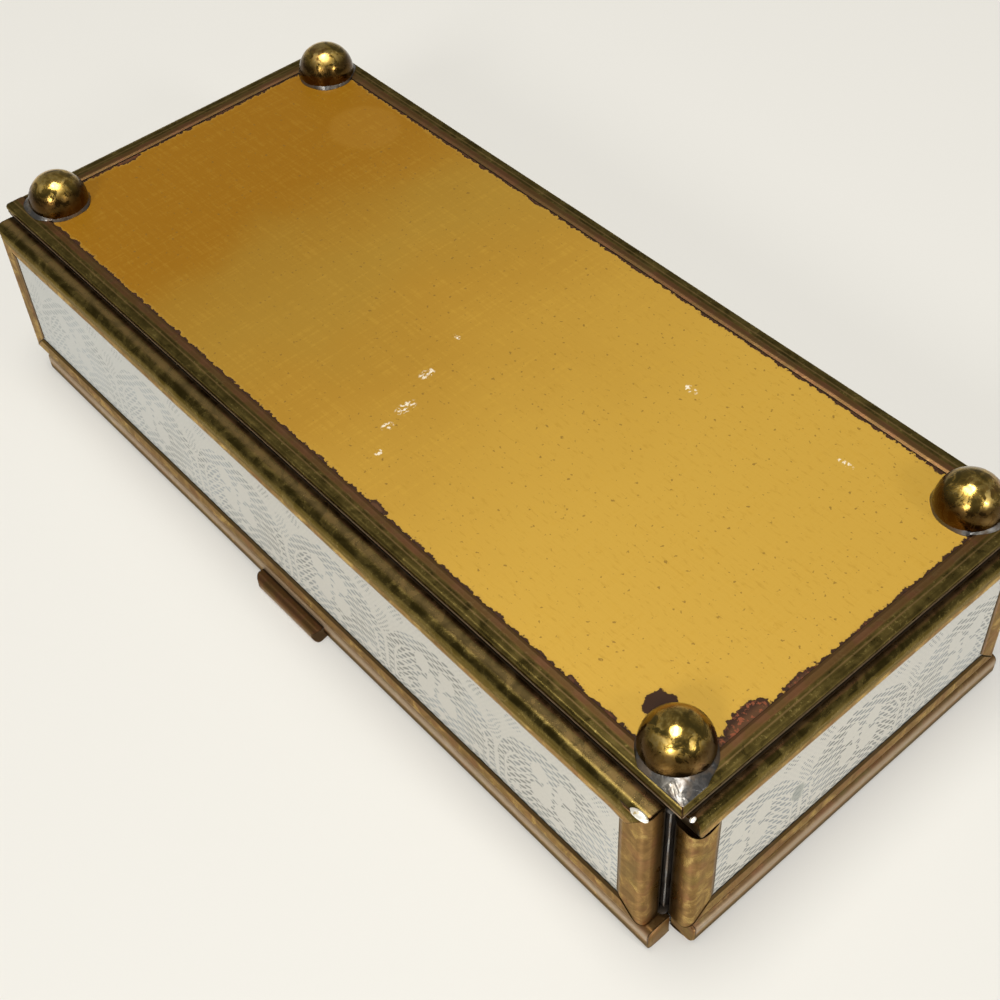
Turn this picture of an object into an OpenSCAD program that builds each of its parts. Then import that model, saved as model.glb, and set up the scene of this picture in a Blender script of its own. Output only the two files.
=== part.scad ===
// Glass keepsake casket: four glass walls in brass came, a mirror base on ball
// feet and a hinged glass lid. Millimetres, +Z up, front (lift tab) towards -Y.

/* [Case] */
// Length over the end walls
case_l = 165; // [120:0.5:220]
// Width over the front and back walls
case_w = 74.1; // [50:0.5:110]
// Height of a wall panel
wall_h = 27.7; // [20:0.1:60]

/* [Came] */
// Width of the came across its back, which is also the panel thickness
came_t = 4.5; // [3:0.1:8]
// Height of the came's two lips, from its back
came_lip = 4.3; // [2.5:0.1:8]
// Sheet thickness of the came
came_skin = 0.3; // [0.2:0.05:0.8]
// Thickness of the came's back, behind the glass edge
came_web = 0.9; // [0.9:0.1:1.5]
// Radius of the came's rounded back
came_r = 1.4; // [0.5:0.1:1.6]
// Opening of the lapped joint at one corner of each wall frame
lap_gap = 0.25; // [0.1:0.05:0.6]

/* [Glass] */
// Play between the glass and each lip of the came
glass_play = 0.05; // [0.05:0.05:0.5]

/* [Base] */
// Length of the base frame
base_l = 160; // [110:0.5:215]
// Width of the base frame
base_w = 68.9; // [45:0.1:105]
// Thickness of the base frame
base_t = 1.8; // [1.4:0.1:4]
// Height of the base frame's lips
base_lip = 3.5; // [2:0.1:6]
// Sheet thickness of the base frame
base_skin = 0.35; // [0.2:0.05:0.6]
// Radius of the base frame's edge
base_r = 0.6; // [0.2:0.1:0.8]
// Thickness of the painted coat behind the mirror
coat_t = 0.1; // [0.05:0.05:0.3]
// Sideways offset of the base frame as soldered
base_dx = -0.7; // [-2:0.1:2]
// Front-to-back offset of the base frame as soldered
base_dy = 0.8; // [-2:0.1:2]

/* [Feet] */
// Radius of a ball foot
foot_r = 5; // [3:0.1:8]
// Height of the base frame above the ground
foot_h = 5.6; // [3:0.1:8]
// Centre of the feet from the middle of the base, lengthwise
foot_x = 73; // [40:0.1:100]
// Centre of the feet from the middle of the base, across
foot_y = 28.3; // [20:0.1:50]
// Radius of the solder collar round a foot
collar_r = 5.5; // [5.2:0.1:9]
// Height of the solder collar
collar_h = 1.0; // [0.4:0.1:3]

/* [Lid] */
// Length of the lid
lid_l = 161.4; // [110:0.1:220]
// Width of the lid
lid_w = 73.1; // [45:0.1:110]
// Sideways offset of the lid as hinged
lid_dx = -1.9; // [-3:0.1:3]
// Gap between the lid and the walls
lid_gap = 0.3; // [0.3:0.05:1]
// Side of the open notch at each corner of the lid frame
lid_notch = 3.5; // [1:0.1:6]
// Corner cut of the lid glass
lid_cut = 7.5; // [3:0.1:12]
// Length of the lift tab
tab_l = 16.5; // [8:0.5:40]
// Thickness of the lift tab, down from the lid's top face
tab_t = 2.6; // [1.5:0.1:4.5]
// How far the lift tab stands out
tab_reach = 2.0; // [1:0.1:6]
// Radius of the lift tab's ends, seen from above
tab_end_r = 1.2; // [0.5:0.1:2]
// Middle of the lift tab, from the middle of the case
tab_x = -0.2; // [-20:0.1:20]

/* [Hinge] */
// Outside radius of the hinge tubes
tube_r = 1.6; // [1.2:0.1:3]
// Radius of the hinge pin
pin_r = 0.8; // [0.5:0.05:1.5]
// Radial clearance of the pin
pin_gap = 0.05; // [0.02:0.01:0.1]
// Middle of each hinge from the middle of the case
hinge_x = 48; // [20:1:75]
// Length of the lid tube of a hinge
lid_tube = 10; // [5:0.5:20]
// Length of each of the two case tubes of a hinge
case_tube = 5; // [3:0.5:15]
// Gap between neighbouring tubes
tube_gap = 0.35; // [0.3:0.05:1]

/* [Solder] */
// Radius of the solder bead in a corner seam
bead_r = 1.0; // [0.8:0.1:2]

/* [Hidden] */
$fn = 64;

brass = [0.48, 0.36, 0.17];
glassy = [0.85, 0.9, 0.88, 0.45];
tin = [0.62, 0.61, 0.6];

glass_t = came_t - 2 * (came_skin + glass_play);
glass_in = came_web + glass_play;
wall_z = foot_h + base_t;
top_z = wall_z + wall_h;
lid_z = top_z + lid_gap;
long_l = case_l - 2 * came_t;
end_l = case_w - 2 * came_t;
seam_x = long_l / 2;
seam_y = end_l / 2;
hinge_y = case_w / 2 + tube_r;
hinge_z = top_z;
pin_l = lid_tube + 2 * (tube_gap + case_tube) + 1;
// The origin is the middle of the bounding box's bottom face.
x_lo = min(-case_l / 2, lid_dx - lid_l / 2);
x_hi = max(case_l / 2, lid_dx + lid_l / 2);
y_lo = -lid_w / 2 - tab_reach;
y_hi = hinge_y + tube_r;
org = [-(x_lo + x_hi) / 2, -(y_lo + y_hi) / 2, 0];
// Each foot stands a little off its nominal place: [side x, side y, shift x, shift y].
FEET = [[-1, -1, 0, 0], [1, -1, 1.0, 1.0], [-1, 1, 0, 0], [1, 1, -0.3, 0.5]];

// Rounded rectangle about the origin.
module rrect(a, b, r) {
    square([a - 2 * r, b], center = true);
    square([a, b - 2 * r], center = true);
    for (sx = [-1, 1], sy = [-1, 1]) translate([sx * (a / 2 - r), sy * (b / 2 - r)]) circle(r);
}

// Round-edged bar of length l along X, section w across by t high, standing on z = 0.
module bar_x(l, w, t, r) {
    translate([0, 0, t / 2]) rotate([90, 0, 90]) linear_extrude(height = l, center = true) rrect(w, t, r);
}

// The same along Y.
module bar_y(l, w, t, r) {
    translate([0, 0, t / 2]) rotate([90, 0, 0]) linear_extrude(height = l, center = true) rrect(w, t, r);
}

// Flat plate whose round edges meet in mitred corners.
module plate(l, w, t, r) {
    intersection() {
        bar_x(l, w, t, r);
        bar_y(w, l, t, r);
    }
}

// Box of l by w by h, centred in plan, from height z.
module slab(l, w, h, z) {
    translate([-l / 2, -w / 2, z]) cube([l, w, h]);
}

// Came bent round a panel of l by w: rounded back outside, groove for the glass inside,
// with the strip's two ends lapped at the corner (-x, -y).
module came_frame(l, w) {
    difference() {
        plate(l, w, came_t, came_r);
        slab(l - 2 * came_lip, w - 2 * came_lip, came_t + 2, -1);
        slab(l - 2 * came_web, w - 2 * came_web, came_t - 2 * came_skin, came_skin);
        translate([-l / 2 - 1, -w / 2 + came_lip, -1]) cube([came_lip + 1.5, lap_gap, came_t + 2]);
    }
}

module pane(l, w) {
    slab(l - 2 * glass_in, w - 2 * glass_in, glass_t, (came_t - glass_t) / 2);
}

// Places of the four walls: the flat panel stands up with its outer face outside.
module at_front() { translate(org + [0, -case_w / 2 + came_t, wall_z + wall_h / 2]) rotate([90, 0, 0]) children(); }
module at_back() { translate(org + [0, case_w / 2 - came_t, wall_z + wall_h / 2]) rotate([90, 0, 180]) children(); }
module at_left() { translate(org + [-case_l / 2 + came_t, 0, wall_z + wall_h / 2]) rotate([90, 0, -90]) mirror([1, 0, 0]) children(); }
module at_right() { translate(org + [case_l / 2 - came_t, 0, wall_z + wall_h / 2]) rotate([90, 0, 90]) children(); }

module front_frame() { color(brass) at_front() came_frame(long_l, wall_h); }
module front_glass() { color(glassy) at_front() pane(long_l, wall_h); }
module back_frame() { color(brass) at_back() came_frame(long_l, wall_h); }
module back_glass() { color(glassy) at_back() pane(long_l, wall_h); }
module left_frame() { color(brass) at_left() came_frame(end_l, wall_h); }
module left_glass() { color(glassy) at_left() pane(end_l, wall_h); }
module right_frame() { color(brass) at_right() came_frame(end_l, wall_h); }
module right_glass() { color(glassy) at_right() pane(end_l, wall_h); }

// Solder bead in the open corner between two walls.
module seam(sx, sy) {
    color(tin) difference() {
        translate(org + [sx * seam_x, sy * seam_y, wall_z + came_r]) cylinder(h = wall_h - 2 * came_r, r = bead_r);
        if (sy < 0) at_front() plate(long_l, wall_h, came_t, came_r);
        if (sy > 0) at_back() plate(long_l, wall_h, came_t, came_r);
        if (sx < 0) at_left() plate(end_l, wall_h, came_t, came_r);
        if (sx > 0) at_right() plate(end_l, wall_h, came_t, came_r);
    }
}

module at_base() { translate(org + [base_dx, base_dy, foot_h]) children(); }

module base_frame() {
    color(brass) at_base() difference() {
        plate(base_l, base_w, base_t, base_r);
        slab(base_l - 2 * base_lip, base_w - 2 * base_lip, base_t + 2, -1);
        slab(base_l - 2 * base_skin, base_w - 2 * base_skin, base_t - 2 * base_skin, base_skin);
    }
}

module base_mirror() {
    color([0.75, 0.78, 0.8]) at_base()
        slab(base_l - 2, base_w - 2, base_t - 2 * base_skin - coat_t, base_skin + coat_t);
}

module base_backing() {
    color([0.72, 0.52, 0.16]) at_base() slab(base_l - 2, base_w - 2, coat_t, base_skin);
}

// Ball foot number i, cut flat where it meets the base frame.
module ball(i) {
    f = FEET[i];
    at_base() translate([f[0] * foot_x + f[2], f[1] * foot_y + f[3], 0]) difference() {
        translate([0, 0, foot_r - foot_h]) sphere(foot_r);
        slab(4 * foot_r, 4 * foot_r, 4 * foot_r, 0);
    }
}

// Solder collar round a foot, with the solder that fills the step down to the backing.
module collar(i) {
    f = FEET[i];
    color(tin) difference() {
        at_base() union() {
            translate([f[0] * foot_x + f[2], f[1] * foot_y + f[3], -collar_h])
                cylinder(h = collar_h, r1 = foot_r + 0.15, r2 = collar_r);
            intersection() {
                translate([f[0] * foot_x + f[2], f[1] * foot_y + f[3], 0]) cylinder(h = base_skin, r = collar_r);
                slab(base_l - 2 * base_lip, base_w - 2 * base_lip, base_skin, 0);
            }
        }
        ball(i);
    }
}

module at_lid() { translate(org + [lid_dx, 0, lid_z]) children(); }

// Lid outline: the rails stop short of the corners and leave square notches.
module lid_solid() {
    bar_x(lid_l - 2 * lid_notch, lid_w, came_t, came_r);
    bar_y(lid_w - 2 * lid_notch, lid_l, came_t, came_r);
}

// Rectangle of the lid inset by d, with its corners cut off.
module lid_shape(d, c) {
    x = lid_l / 2 - d;
    y = lid_w / 2 - d;
    polygon([[-x + c, -y], [x - c, -y], [x, -y + c], [x, y - c], [x - c, y], [-x + c, y], [-x, y - c], [-x, -y + c]]);
}

module lid_frame() {
    color(brass) at_lid() difference() {
        lid_solid();
        slab(lid_l - 2 * came_lip, lid_w - 2 * came_lip, came_t + 2, -1);
        translate([0, 0, came_skin]) linear_extrude(height = came_t - 2 * came_skin) lid_shape(came_web, lid_cut);
    }
}

module lid_glass() {
    color(glassy) at_lid() translate([0, 0, (came_t - glass_t) / 2])
        linear_extrude(height = glass_t) lid_shape(glass_in, lid_cut);
}

// Lift tab: a short round-ended strip soldered on the lid's front edge, flush with its top face.
module lid_tab() {
    d = 2 * (tab_reach + came_r);
    color(brass) difference() {
        translate(org + [tab_x, -lid_w / 2 - tab_reach + d / 2, lid_z + came_t - tab_t]) intersection() {
            bar_x(tab_l, d, tab_t, 0.45 * tab_t);
            linear_extrude(height = tab_t) rrect(tab_l, d, tab_end_r);
        }
        at_lid() lid_solid();
    }
}

// Tube of length l about the hinge axis, its middle at x.
module tube(x, l) {
    translate(org + [x - l / 2, hinge_y, hinge_z]) rotate([0, 90, 0]) difference() {
        cylinder(h = l, r = tube_r);
        translate([0, 0, -1]) cylinder(h = l + 2, r = pin_r + pin_gap);
    }
}

module hinge_case(sx) {
    color(brass) for (k = [-1, 1]) tube(sx * hinge_x + k * (lid_tube + case_tube + 2 * tube_gap) / 2, case_tube);
}

module hinge_lid(sx) { color(brass) tube(sx * hinge_x, lid_tube); }

module hinge_pin(sx) {
    color(brass) translate(org + [sx * hinge_x - pin_l / 2, hinge_y, hinge_z])
        rotate([0, 90, 0]) cylinder(h = pin_l, r = pin_r);
}

// Solder between the case tubes and the back wall.
module hinge_case_solder() {
    color(tin) for (sx = [-1, 1], k = [-1, 1]) difference() {
        translate(org + [sx * hinge_x + k * (lid_tube + case_tube + 2 * tube_gap) / 2 - case_tube / 2 + 0.3,
                         case_w / 2 - came_r, hinge_z - 2.6])
            cube([case_tube - 0.6, hinge_y - case_w / 2 + came_r, 2]);
        translate(org + [sx * hinge_x - 20, hinge_y, hinge_z]) rotate([0, 90, 0]) cylinder(h = 40, r = tube_r);
        at_back() plate(long_l, wall_h, came_t, came_r);
    }
}

// Solder between the lid tubes and the lid's back edge.
module hinge_lid_solder() {
    color(tin) for (sx = [-1, 1]) difference() {
        translate(org + [sx * hinge_x - lid_tube / 2 + 0.3, lid_w / 2 - came_r, hinge_z + 0.8])
            cube([lid_tube - 0.6, hinge_y - lid_w / 2 + came_r, 2.2]);
        translate(org + [sx * hinge_x - 20, hinge_y, hinge_z]) rotate([0, 90, 0]) cylinder(h = 40, r = tube_r);
        at_lid() lid_solid();
    }
}

front_frame();
front_glass();
back_frame();
back_glass();
left_frame();
left_glass();
right_frame();
right_glass();
seam(-1, -1);  // seam_front_left
seam(1, -1);  // seam_front_right
seam(-1, 1);  // seam_back_left
seam(1, 1);  // seam_back_right
base_frame();
base_mirror();
base_backing();
color(brass) ball(0);  // foot_front_left
color(brass) ball(1);  // foot_front_right
color(brass) ball(2);  // foot_back_left
color(brass) ball(3);  // foot_back_right
collar(0);  // foot_solder_front_left
collar(1);  // foot_solder_front_right
collar(2);  // foot_solder_back_left
collar(3);  // foot_solder_back_right
lid_frame();
lid_glass();
lid_tab();
hinge_case(-1);  // hinge_left_case
hinge_lid(-1);  // hinge_left_lid
hinge_pin(-1);  // hinge_left_pin
hinge_case(1);  // hinge_right_case
hinge_lid(1);  // hinge_right_lid
hinge_pin(1);  // hinge_right_pin
hinge_case_solder();
hinge_lid_solder();
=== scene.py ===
import math
from functools import reduce
import bpy
import numpy as np
from bpy.props import FloatProperty, FloatVectorProperty, IntProperty, PointerProperty
from mathutils import Matrix, Vector


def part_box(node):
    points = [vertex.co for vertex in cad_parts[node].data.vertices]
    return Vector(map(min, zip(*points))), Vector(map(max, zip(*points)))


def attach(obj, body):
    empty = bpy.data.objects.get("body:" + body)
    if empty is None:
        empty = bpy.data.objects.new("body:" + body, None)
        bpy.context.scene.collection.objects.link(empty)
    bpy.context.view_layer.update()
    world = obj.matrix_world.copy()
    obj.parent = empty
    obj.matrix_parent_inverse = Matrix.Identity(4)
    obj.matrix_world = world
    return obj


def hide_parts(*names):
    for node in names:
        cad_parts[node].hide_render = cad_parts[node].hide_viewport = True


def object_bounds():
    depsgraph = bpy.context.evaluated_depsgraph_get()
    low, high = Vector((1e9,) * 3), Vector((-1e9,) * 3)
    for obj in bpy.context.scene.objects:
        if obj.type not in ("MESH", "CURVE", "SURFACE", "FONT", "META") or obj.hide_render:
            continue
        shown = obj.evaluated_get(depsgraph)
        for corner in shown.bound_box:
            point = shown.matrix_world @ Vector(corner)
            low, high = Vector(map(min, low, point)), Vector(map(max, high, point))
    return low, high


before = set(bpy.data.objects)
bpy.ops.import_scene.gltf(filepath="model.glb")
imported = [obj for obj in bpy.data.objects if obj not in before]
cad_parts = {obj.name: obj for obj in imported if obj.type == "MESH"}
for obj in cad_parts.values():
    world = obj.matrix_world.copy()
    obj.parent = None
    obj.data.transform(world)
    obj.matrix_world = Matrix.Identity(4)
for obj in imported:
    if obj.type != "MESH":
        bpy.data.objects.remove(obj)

bl_info = {
    "name": "Glass Casket Box",
    "version": (1, 0, 0),
    "blender": (4, 5, 0),
    "location": "View3D > Sidebar > Casket",
    "description": "Brass came, lace glass, ball feet and mirror base of a small glass casket",
    "category": "Add Mesh",
}

cad_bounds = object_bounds()
MM = 0.001

# The frame: X runs along the front to the right end, Y from the front to the back with its hinges, and Z
# up from the feet. Shapes are worked out in millimetres and become metres when a mesh is made.


# ---------------------------------------------------------------- sizes and colours

def corners_mm(node):
    """Lowest and highest corner of a CAD node, in millimetres."""
    lo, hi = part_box(node)
    return np.array(lo) / MM, np.array(hi) / MM


def colour(name, text, rgb):
    """A colour of the panel, in linear light."""
    return FloatVectorProperty(name=name, description=text, subtype="COLOR", size=3, min=0, max=1,
                               default=rgb)


def length(name, text, mm):
    """A length of the panel, given in millimetres and kept in metres."""
    return FloatProperty(name=name, description=text, unit="LENGTH", min=0, default=mm * MM)


class CasketSizes(bpy.types.PropertyGroup):
    """Sizes of the came, the lace, the solder and the hinge pins"""
    came_lip: length("Came lip", "Width of the wall and lid came over the glass", 4.3)
    came_skin: length("Came skin", "Thickness of the brass strip", 0.3)
    came_web: length("Came web", "Thickness of the came's back, behind the glass edge", 0.9)
    lip_slope: length("Lip slope", "Width of the slope at the edge of a lip", 0.75)
    came_round: length("Came rounding", "Radius of the came's back edges", 1.4)
    lap: length("Lap gap", "Slit where the ends of a came lap", 0.10)
    base_lip: length("Base lip", "Width of the base came over the plate", 3.5)
    base_skin: length("Base skin", "Thickness of the base strip", 0.35)
    notch: length("Lid notch", "Open notch at each corner of the lid", 3.5)
    lace_repeat: length("Lace repeat", "Width of one fan of the lace on the long walls", 24.0)
    lace_repeat_end: length("End lace repeat", "Width of one fan of the lace on the end walls", 21.7)
    bead: length("Seam bead", "Radius of the solder in a wall corner", 0.22)
    stile_wide: length("Stile extra", "How much wider the upright lips are pressed over the glass", 0.45)
    pin: length("Hinge pin", "Radius of the hinge pins", 0.8)
    steps: IntProperty(name="Rail steps", description="Divisions along a long rail", default=64, min=8)


class CasketColours(bpy.types.PropertyGroup):
    """Colours of the brass, the lace, the gold paint, the solder and the table"""
    brass_light: colour("Worn brass", "Brass where it is rubbed bright", (0.62, 0.44, 0.17))
    brass_mid: colour("Aged brass", "Brass under a thin brown film", (0.33, 0.205, 0.080))
    brass_brown: colour("Brown film", "Thicker brown film in streaks and patches", (0.175, 0.092, 0.031))
    brass_olive: colour("Olive tarnish", "Olive tarnish on the rounded back", (0.085, 0.062, 0.015))
    brass_red: colour("Red film", "Red brown film in places", (0.28, 0.120, 0.058))
    brass_rim: colour("Lip edge", "Mauve grey of the strip's sloped edges", (0.40, 0.33, 0.26))
    # The next two colours paint real dirt in the joints and also the painted shade in gaps, grooves, corners
    # and open ends.
    soot: colour("Dark film", "Dark brown film next to a joint", (0.038, 0.023, 0.010))
    grime: colour("Grime", "Black brown dirt in the joints", (0.012, 0.008, 0.005))
    ball_light: colour("Ball brass", "Bright patches of the feet", (0.85, 0.66, 0.24))
    ball_mid: colour("Ball film", "Brown film of the feet", (0.72, 0.45, 0.090))
    ball_dark: colour("Ball tarnish", "Olive tarnish of the feet", (0.205, 0.145, 0.036))
    lace_white: colour("Lace", "Threads of the printed lace", (0.635, 0.605, 0.520))
    lace_hole: colour("Lace ground", "Glass between the threads", (0.165, 0.163, 0.135))
    # The gold is partly the paint's own colour and partly a painted reflection, bright at one end; deep gold
    # is the amber end.
    gold: colour("Gold paint", "Satin paint behind the mirror", (0.555, 0.336, 0.048))
    gold_deep: colour("Deep gold", "Amber side of the gold paint", (0.305, 0.135, 0.004))
    rust: colour("Corrosion", "Brown black corrosion at the plate's edge", (0.032, 0.011, 0.003))
    rust_core: colour("Corrosion crumbs", "Red orange crumbs in the corrosion", (0.22, 0.060, 0.024))
    tin: colour("Solder", "Grey of the soft solder", (0.26, 0.255, 0.25))
    tin_brown: colour("Flux stain", "Brown flux stain on the solder", (0.16, 0.105, 0.06))
    table: colour("Table", "Pale table and floor", (0.82, 0.805, 0.76))


def sizes():
    """The sizes of the panel as a plain dictionary in millimetres."""
    s = bpy.context.scene.casket_sizes
    return {k: (getattr(s, k) if k == "steps" else getattr(s, k) / MM) for k in CasketSizes.__annotations__}


# Fixed tints of the finishes, as red, green and blue in linear light.
TINTS = {
    "brass_green": (0.19, 0.155, 0.055),       # greenish patches in the film on the strip
    "brass_russet": (0.215, 0.088, 0.045),     # redder patches in the thick film
    "brass_gloss": (0.83, 0.71, 0.52),         # tint of the strip's gloss where it is filmed over
    "olive_thin": (0.165, 0.120, 0.032),       # olive tarnish where it is thin
    "olive_speckle": (0.42, 0.33, 0.10),       # bright speckles in the olive
    "pit": (0.03, 0.02, 0.01),                 # dirt in small pits
    "ball_red": (0.34, 0.16, 0.06),            # red brown clouds on the feet
    "ball_speck": (0.04, 0.028, 0.012),        # darker over the half of the ball next to the solder
    "ball_foot": (0.058, 0.028, 0.007),        # thick film next to the solder
    "tin_pale": (0.46, 0.42, 0.35),            # paler patches of the solder
    "tin_speck": (0.035, 0.03, 0.025),         # dirt specks on the solder
    "drop_glint": (0.95, 0.92, 0.84),            # near white painted glint on the drops, and the brass that shows in them
    "drop_brass": (0.62, 0.48, 0.22),
    "ground_grey": (0.27, 0.29, 0.285),        # greyer parts of the glass between the threads
    "ground_shaded": (0.20, 0.215, 0.20),        # the same, darker, as painted shade where the glass meets the came on the lid side
    "haze": (0.46, 0.49, 0.48),                # grey haze towards the right end
    "stain": (0.22, 0.24, 0.20),               # the spot in the lace
    "glass": (0.97, 0.99, 0.98),
    "glass_smear": (0.90, 0.95, 0.93),
    "silver": (0.86, 0.90, 0.88),
    "silver_creep": (0.16, 0.11, 0.07),        # brown creep at the mirror's edge
    "gold_olive": (0.40, 0.28, 0.045),         # the broad olive cloud in the gold paint
    "gold_weave": (0.54, 0.32, 0.04),          # its brushed threads
    "gold_ring": (0.38, 0.19, 0.02),           # its faint round stain
    "gold_halo": (0.46, 0.27, 0.045),          # the paint next to the corrosion
    "gold_speck": (0.20, 0.11, 0.02),
    "gold_fleck": (0.40, 0.22, 0.02),
    "rust_brown": (0.095, 0.040, 0.014),       # browner corrosion at the came
    "scuff": (0.82, 0.77, 0.64),
}


def colours():
    """The colours of the panel and the fixed tints, as RGBA."""
    c = bpy.context.scene.casket_colours
    panel = {k: tuple(getattr(c, k)) for k in CasketColours.__annotations__}
    return {k: rgb + (1.0,) for k, rgb in {**panel, **TINTS}.items()}


# ---------------------------------------------------------------- shader helpers

class Wire:
    """A number or vector socket that turns arithmetic into Math nodes."""

    def __init__(self, tree, socket):
        self.tree, self.socket = tree, socket

    def _op(self, kind, *others):
        n = self.tree.nodes.new("ShaderNodeMath")
        n.operation = kind
        for i, v in enumerate((self,) + others):
            put(self.tree, n.inputs[i], v)
        return Wire(self.tree, n.outputs[0])

    def __add__(self, o): return self._op("ADD", o)
    def __sub__(self, o): return self._op("SUBTRACT", o)
    def __mul__(self, o): return self._op("MULTIPLY", o)
    def __truediv__(self, o): return self._op("DIVIDE", o)
    __radd__, __rmul__ = __add__, __mul__
    def __rsub__(self, o): return (self * -1.0) + o
    def cos(self): return self._op("COSINE")
    def abs(self): return self._op("ABSOLUTE")
    def frac(self): return self._op("FRACT")
    def root(self): return self._op("SQRT")
    def low(self, o): return self._op("MINIMUM", o)
    def high(self, o): return self._op("MAXIMUM", o)

    def step(self, a, b):
        """Smooth step: 0 below a, 1 above b, or the other way round if b is below a."""
        n = self.tree.nodes.new("ShaderNodeMapRange")
        n.interpolation_type = "SMOOTHSTEP"
        flip = b < a
        for key, v in zip(("Value", "From Min", "From Max", "To Min", "To Max"),
                          (self, min(a, b), max(a, b), float(flip), float(not flip))):
            put(self.tree, n.inputs[key], v)
        return Wire(self.tree, n.outputs["Result"])


def put(tree, socket, value):
    """Gives a socket a value, or links it where the value is a wire."""
    if isinstance(value, Wire):
        tree.links.new(value.socket, socket)
    else:
        socket.default_value = value


def node(tree, kind, out=0, props=None, **inputs):
    """Adds a node and returns one of its outputs. Inputs go by the names of their sockets."""
    n = tree.nodes.new(kind)
    for k, v in (props or {}).items():
        setattr(n, k, v)
    for k, v in inputs.items():
        put(tree, n.inputs[k.replace("_", " ")], v)
    return Wire(tree, n.outputs[out])


def noise(tree, vec, scale, detail=4.0, rough=0.55, bend=0.0):
    """Noise between 0 and 1, with scale cells to the unit of vec."""
    return node(tree, "ShaderNodeTexNoise", Vector=vec, Scale=scale, Detail=detail, Roughness=rough,
                Distortion=bend)


def scaled(tree, vec, s, shift=(0, 0, 0)):
    """The vector times s, plus shift."""
    return node(tree, "ShaderNodeMapping", Vector=vec, Scale=s, Location=shift)


def in_mm(tree, vec):
    """A place in metres as millimetres."""
    return scaled(tree, vec, (1 / MM,) * 3)


def mix(tree, a, b, f):
    """Colour a where f is 0, and b where it is 1."""
    n = tree.nodes.new("ShaderNodeMix")
    n.data_type = "RGBA"
    put(tree, n.inputs[0], f)
    put(tree, n.inputs[6], a)
    put(tree, n.inputs[7], b)
    return Wire(tree, n.outputs[2])


def parts(tree, vec):
    """The three numbers of a vector."""
    n = tree.nodes.new("ShaderNodeSeparateXYZ")
    tree.links.new(vec.socket, n.inputs[0])
    return [Wire(tree, s) for s in n.outputs]


def joined(tree, x, y):
    """A vector from two numbers, with 0 for the third."""
    return node(tree, "ShaderNodeCombineXYZ", X=x, Y=y)


def oval(x, y, cx, cy, rx, ry):
    """Square of the distance from an oval's middle, counted in its half sizes: 1 on its edge."""
    dx, dy = (x - cx) / rx, (y - cy) / ry
    return dx * dx + dy * dy


def margin(x, y, lo, hi):
    """Distance inwards from the nearest side of the rectangle from lo to hi."""
    return (x - lo[0]).low(hi[0] - x).low((y - lo[1]).low(hi[1] - y))


def group(name, inputs, outputs, build):
    """A node group with named sockets; build takes the tree and its input wires and returns the outputs."""
    if name in bpy.data.node_groups:
        return bpy.data.node_groups[name]
    t = bpy.data.node_groups.new(name, "ShaderNodeTree")
    for n, kind, value in inputs:
        s = t.interface.new_socket(name=n, in_out="INPUT", socket_type="NodeSocket" + kind)
        if value is not None:
            s.default_value = value
    for n, kind in outputs:
        t.interface.new_socket(name=n, in_out="OUTPUT", socket_type="NodeSocket" + kind)
    gi, go = t.nodes.new("NodeGroupInput"), t.nodes.new("NodeGroupOutput")
    result = build(t, {n: Wire(t, gi.outputs[n]) for n, _, _ in inputs})
    for (n, _), w in zip(outputs, result):
        t.links.new(w.socket, go.inputs[n])
    return t


def use(tree, grp, **inputs):
    """Places a group and returns its outputs by name."""
    n = tree.nodes.new("ShaderNodeGroup")
    n.node_tree = grp
    for k, v in inputs.items():
        put(tree, n.inputs[k.replace("_", " ")], v)
    return {s.name: Wire(tree, s) for s in n.outputs}


def material(name, build, **plain):
    """A material with one Principled shader: plain values go straight on its sockets, and build
    returns the linked ones, with Height for a Bump node of that strength and distance."""
    if name in bpy.data.materials:
        return bpy.data.materials[name]
    m = bpy.data.materials.new(name)
    m.use_nodes = True
    t = m.node_tree
    p = t.nodes["Principled BSDF"]
    for k, v in plain.items():
        p.inputs[k.replace("_", " ")].default_value = v
    linked = build(t) or {}
    height = linked.pop("Height", None)
    if height is not None:
        wire, strength, distance = height
        linked["Normal"] = node(t, "ShaderNodeBump", Height=wire, Strength=strength, Distance=distance)
    for k, v in linked.items():
        put(t, p.inputs[k], v)
    return m


# ---------------------------------------------------------------- shared effects

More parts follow.
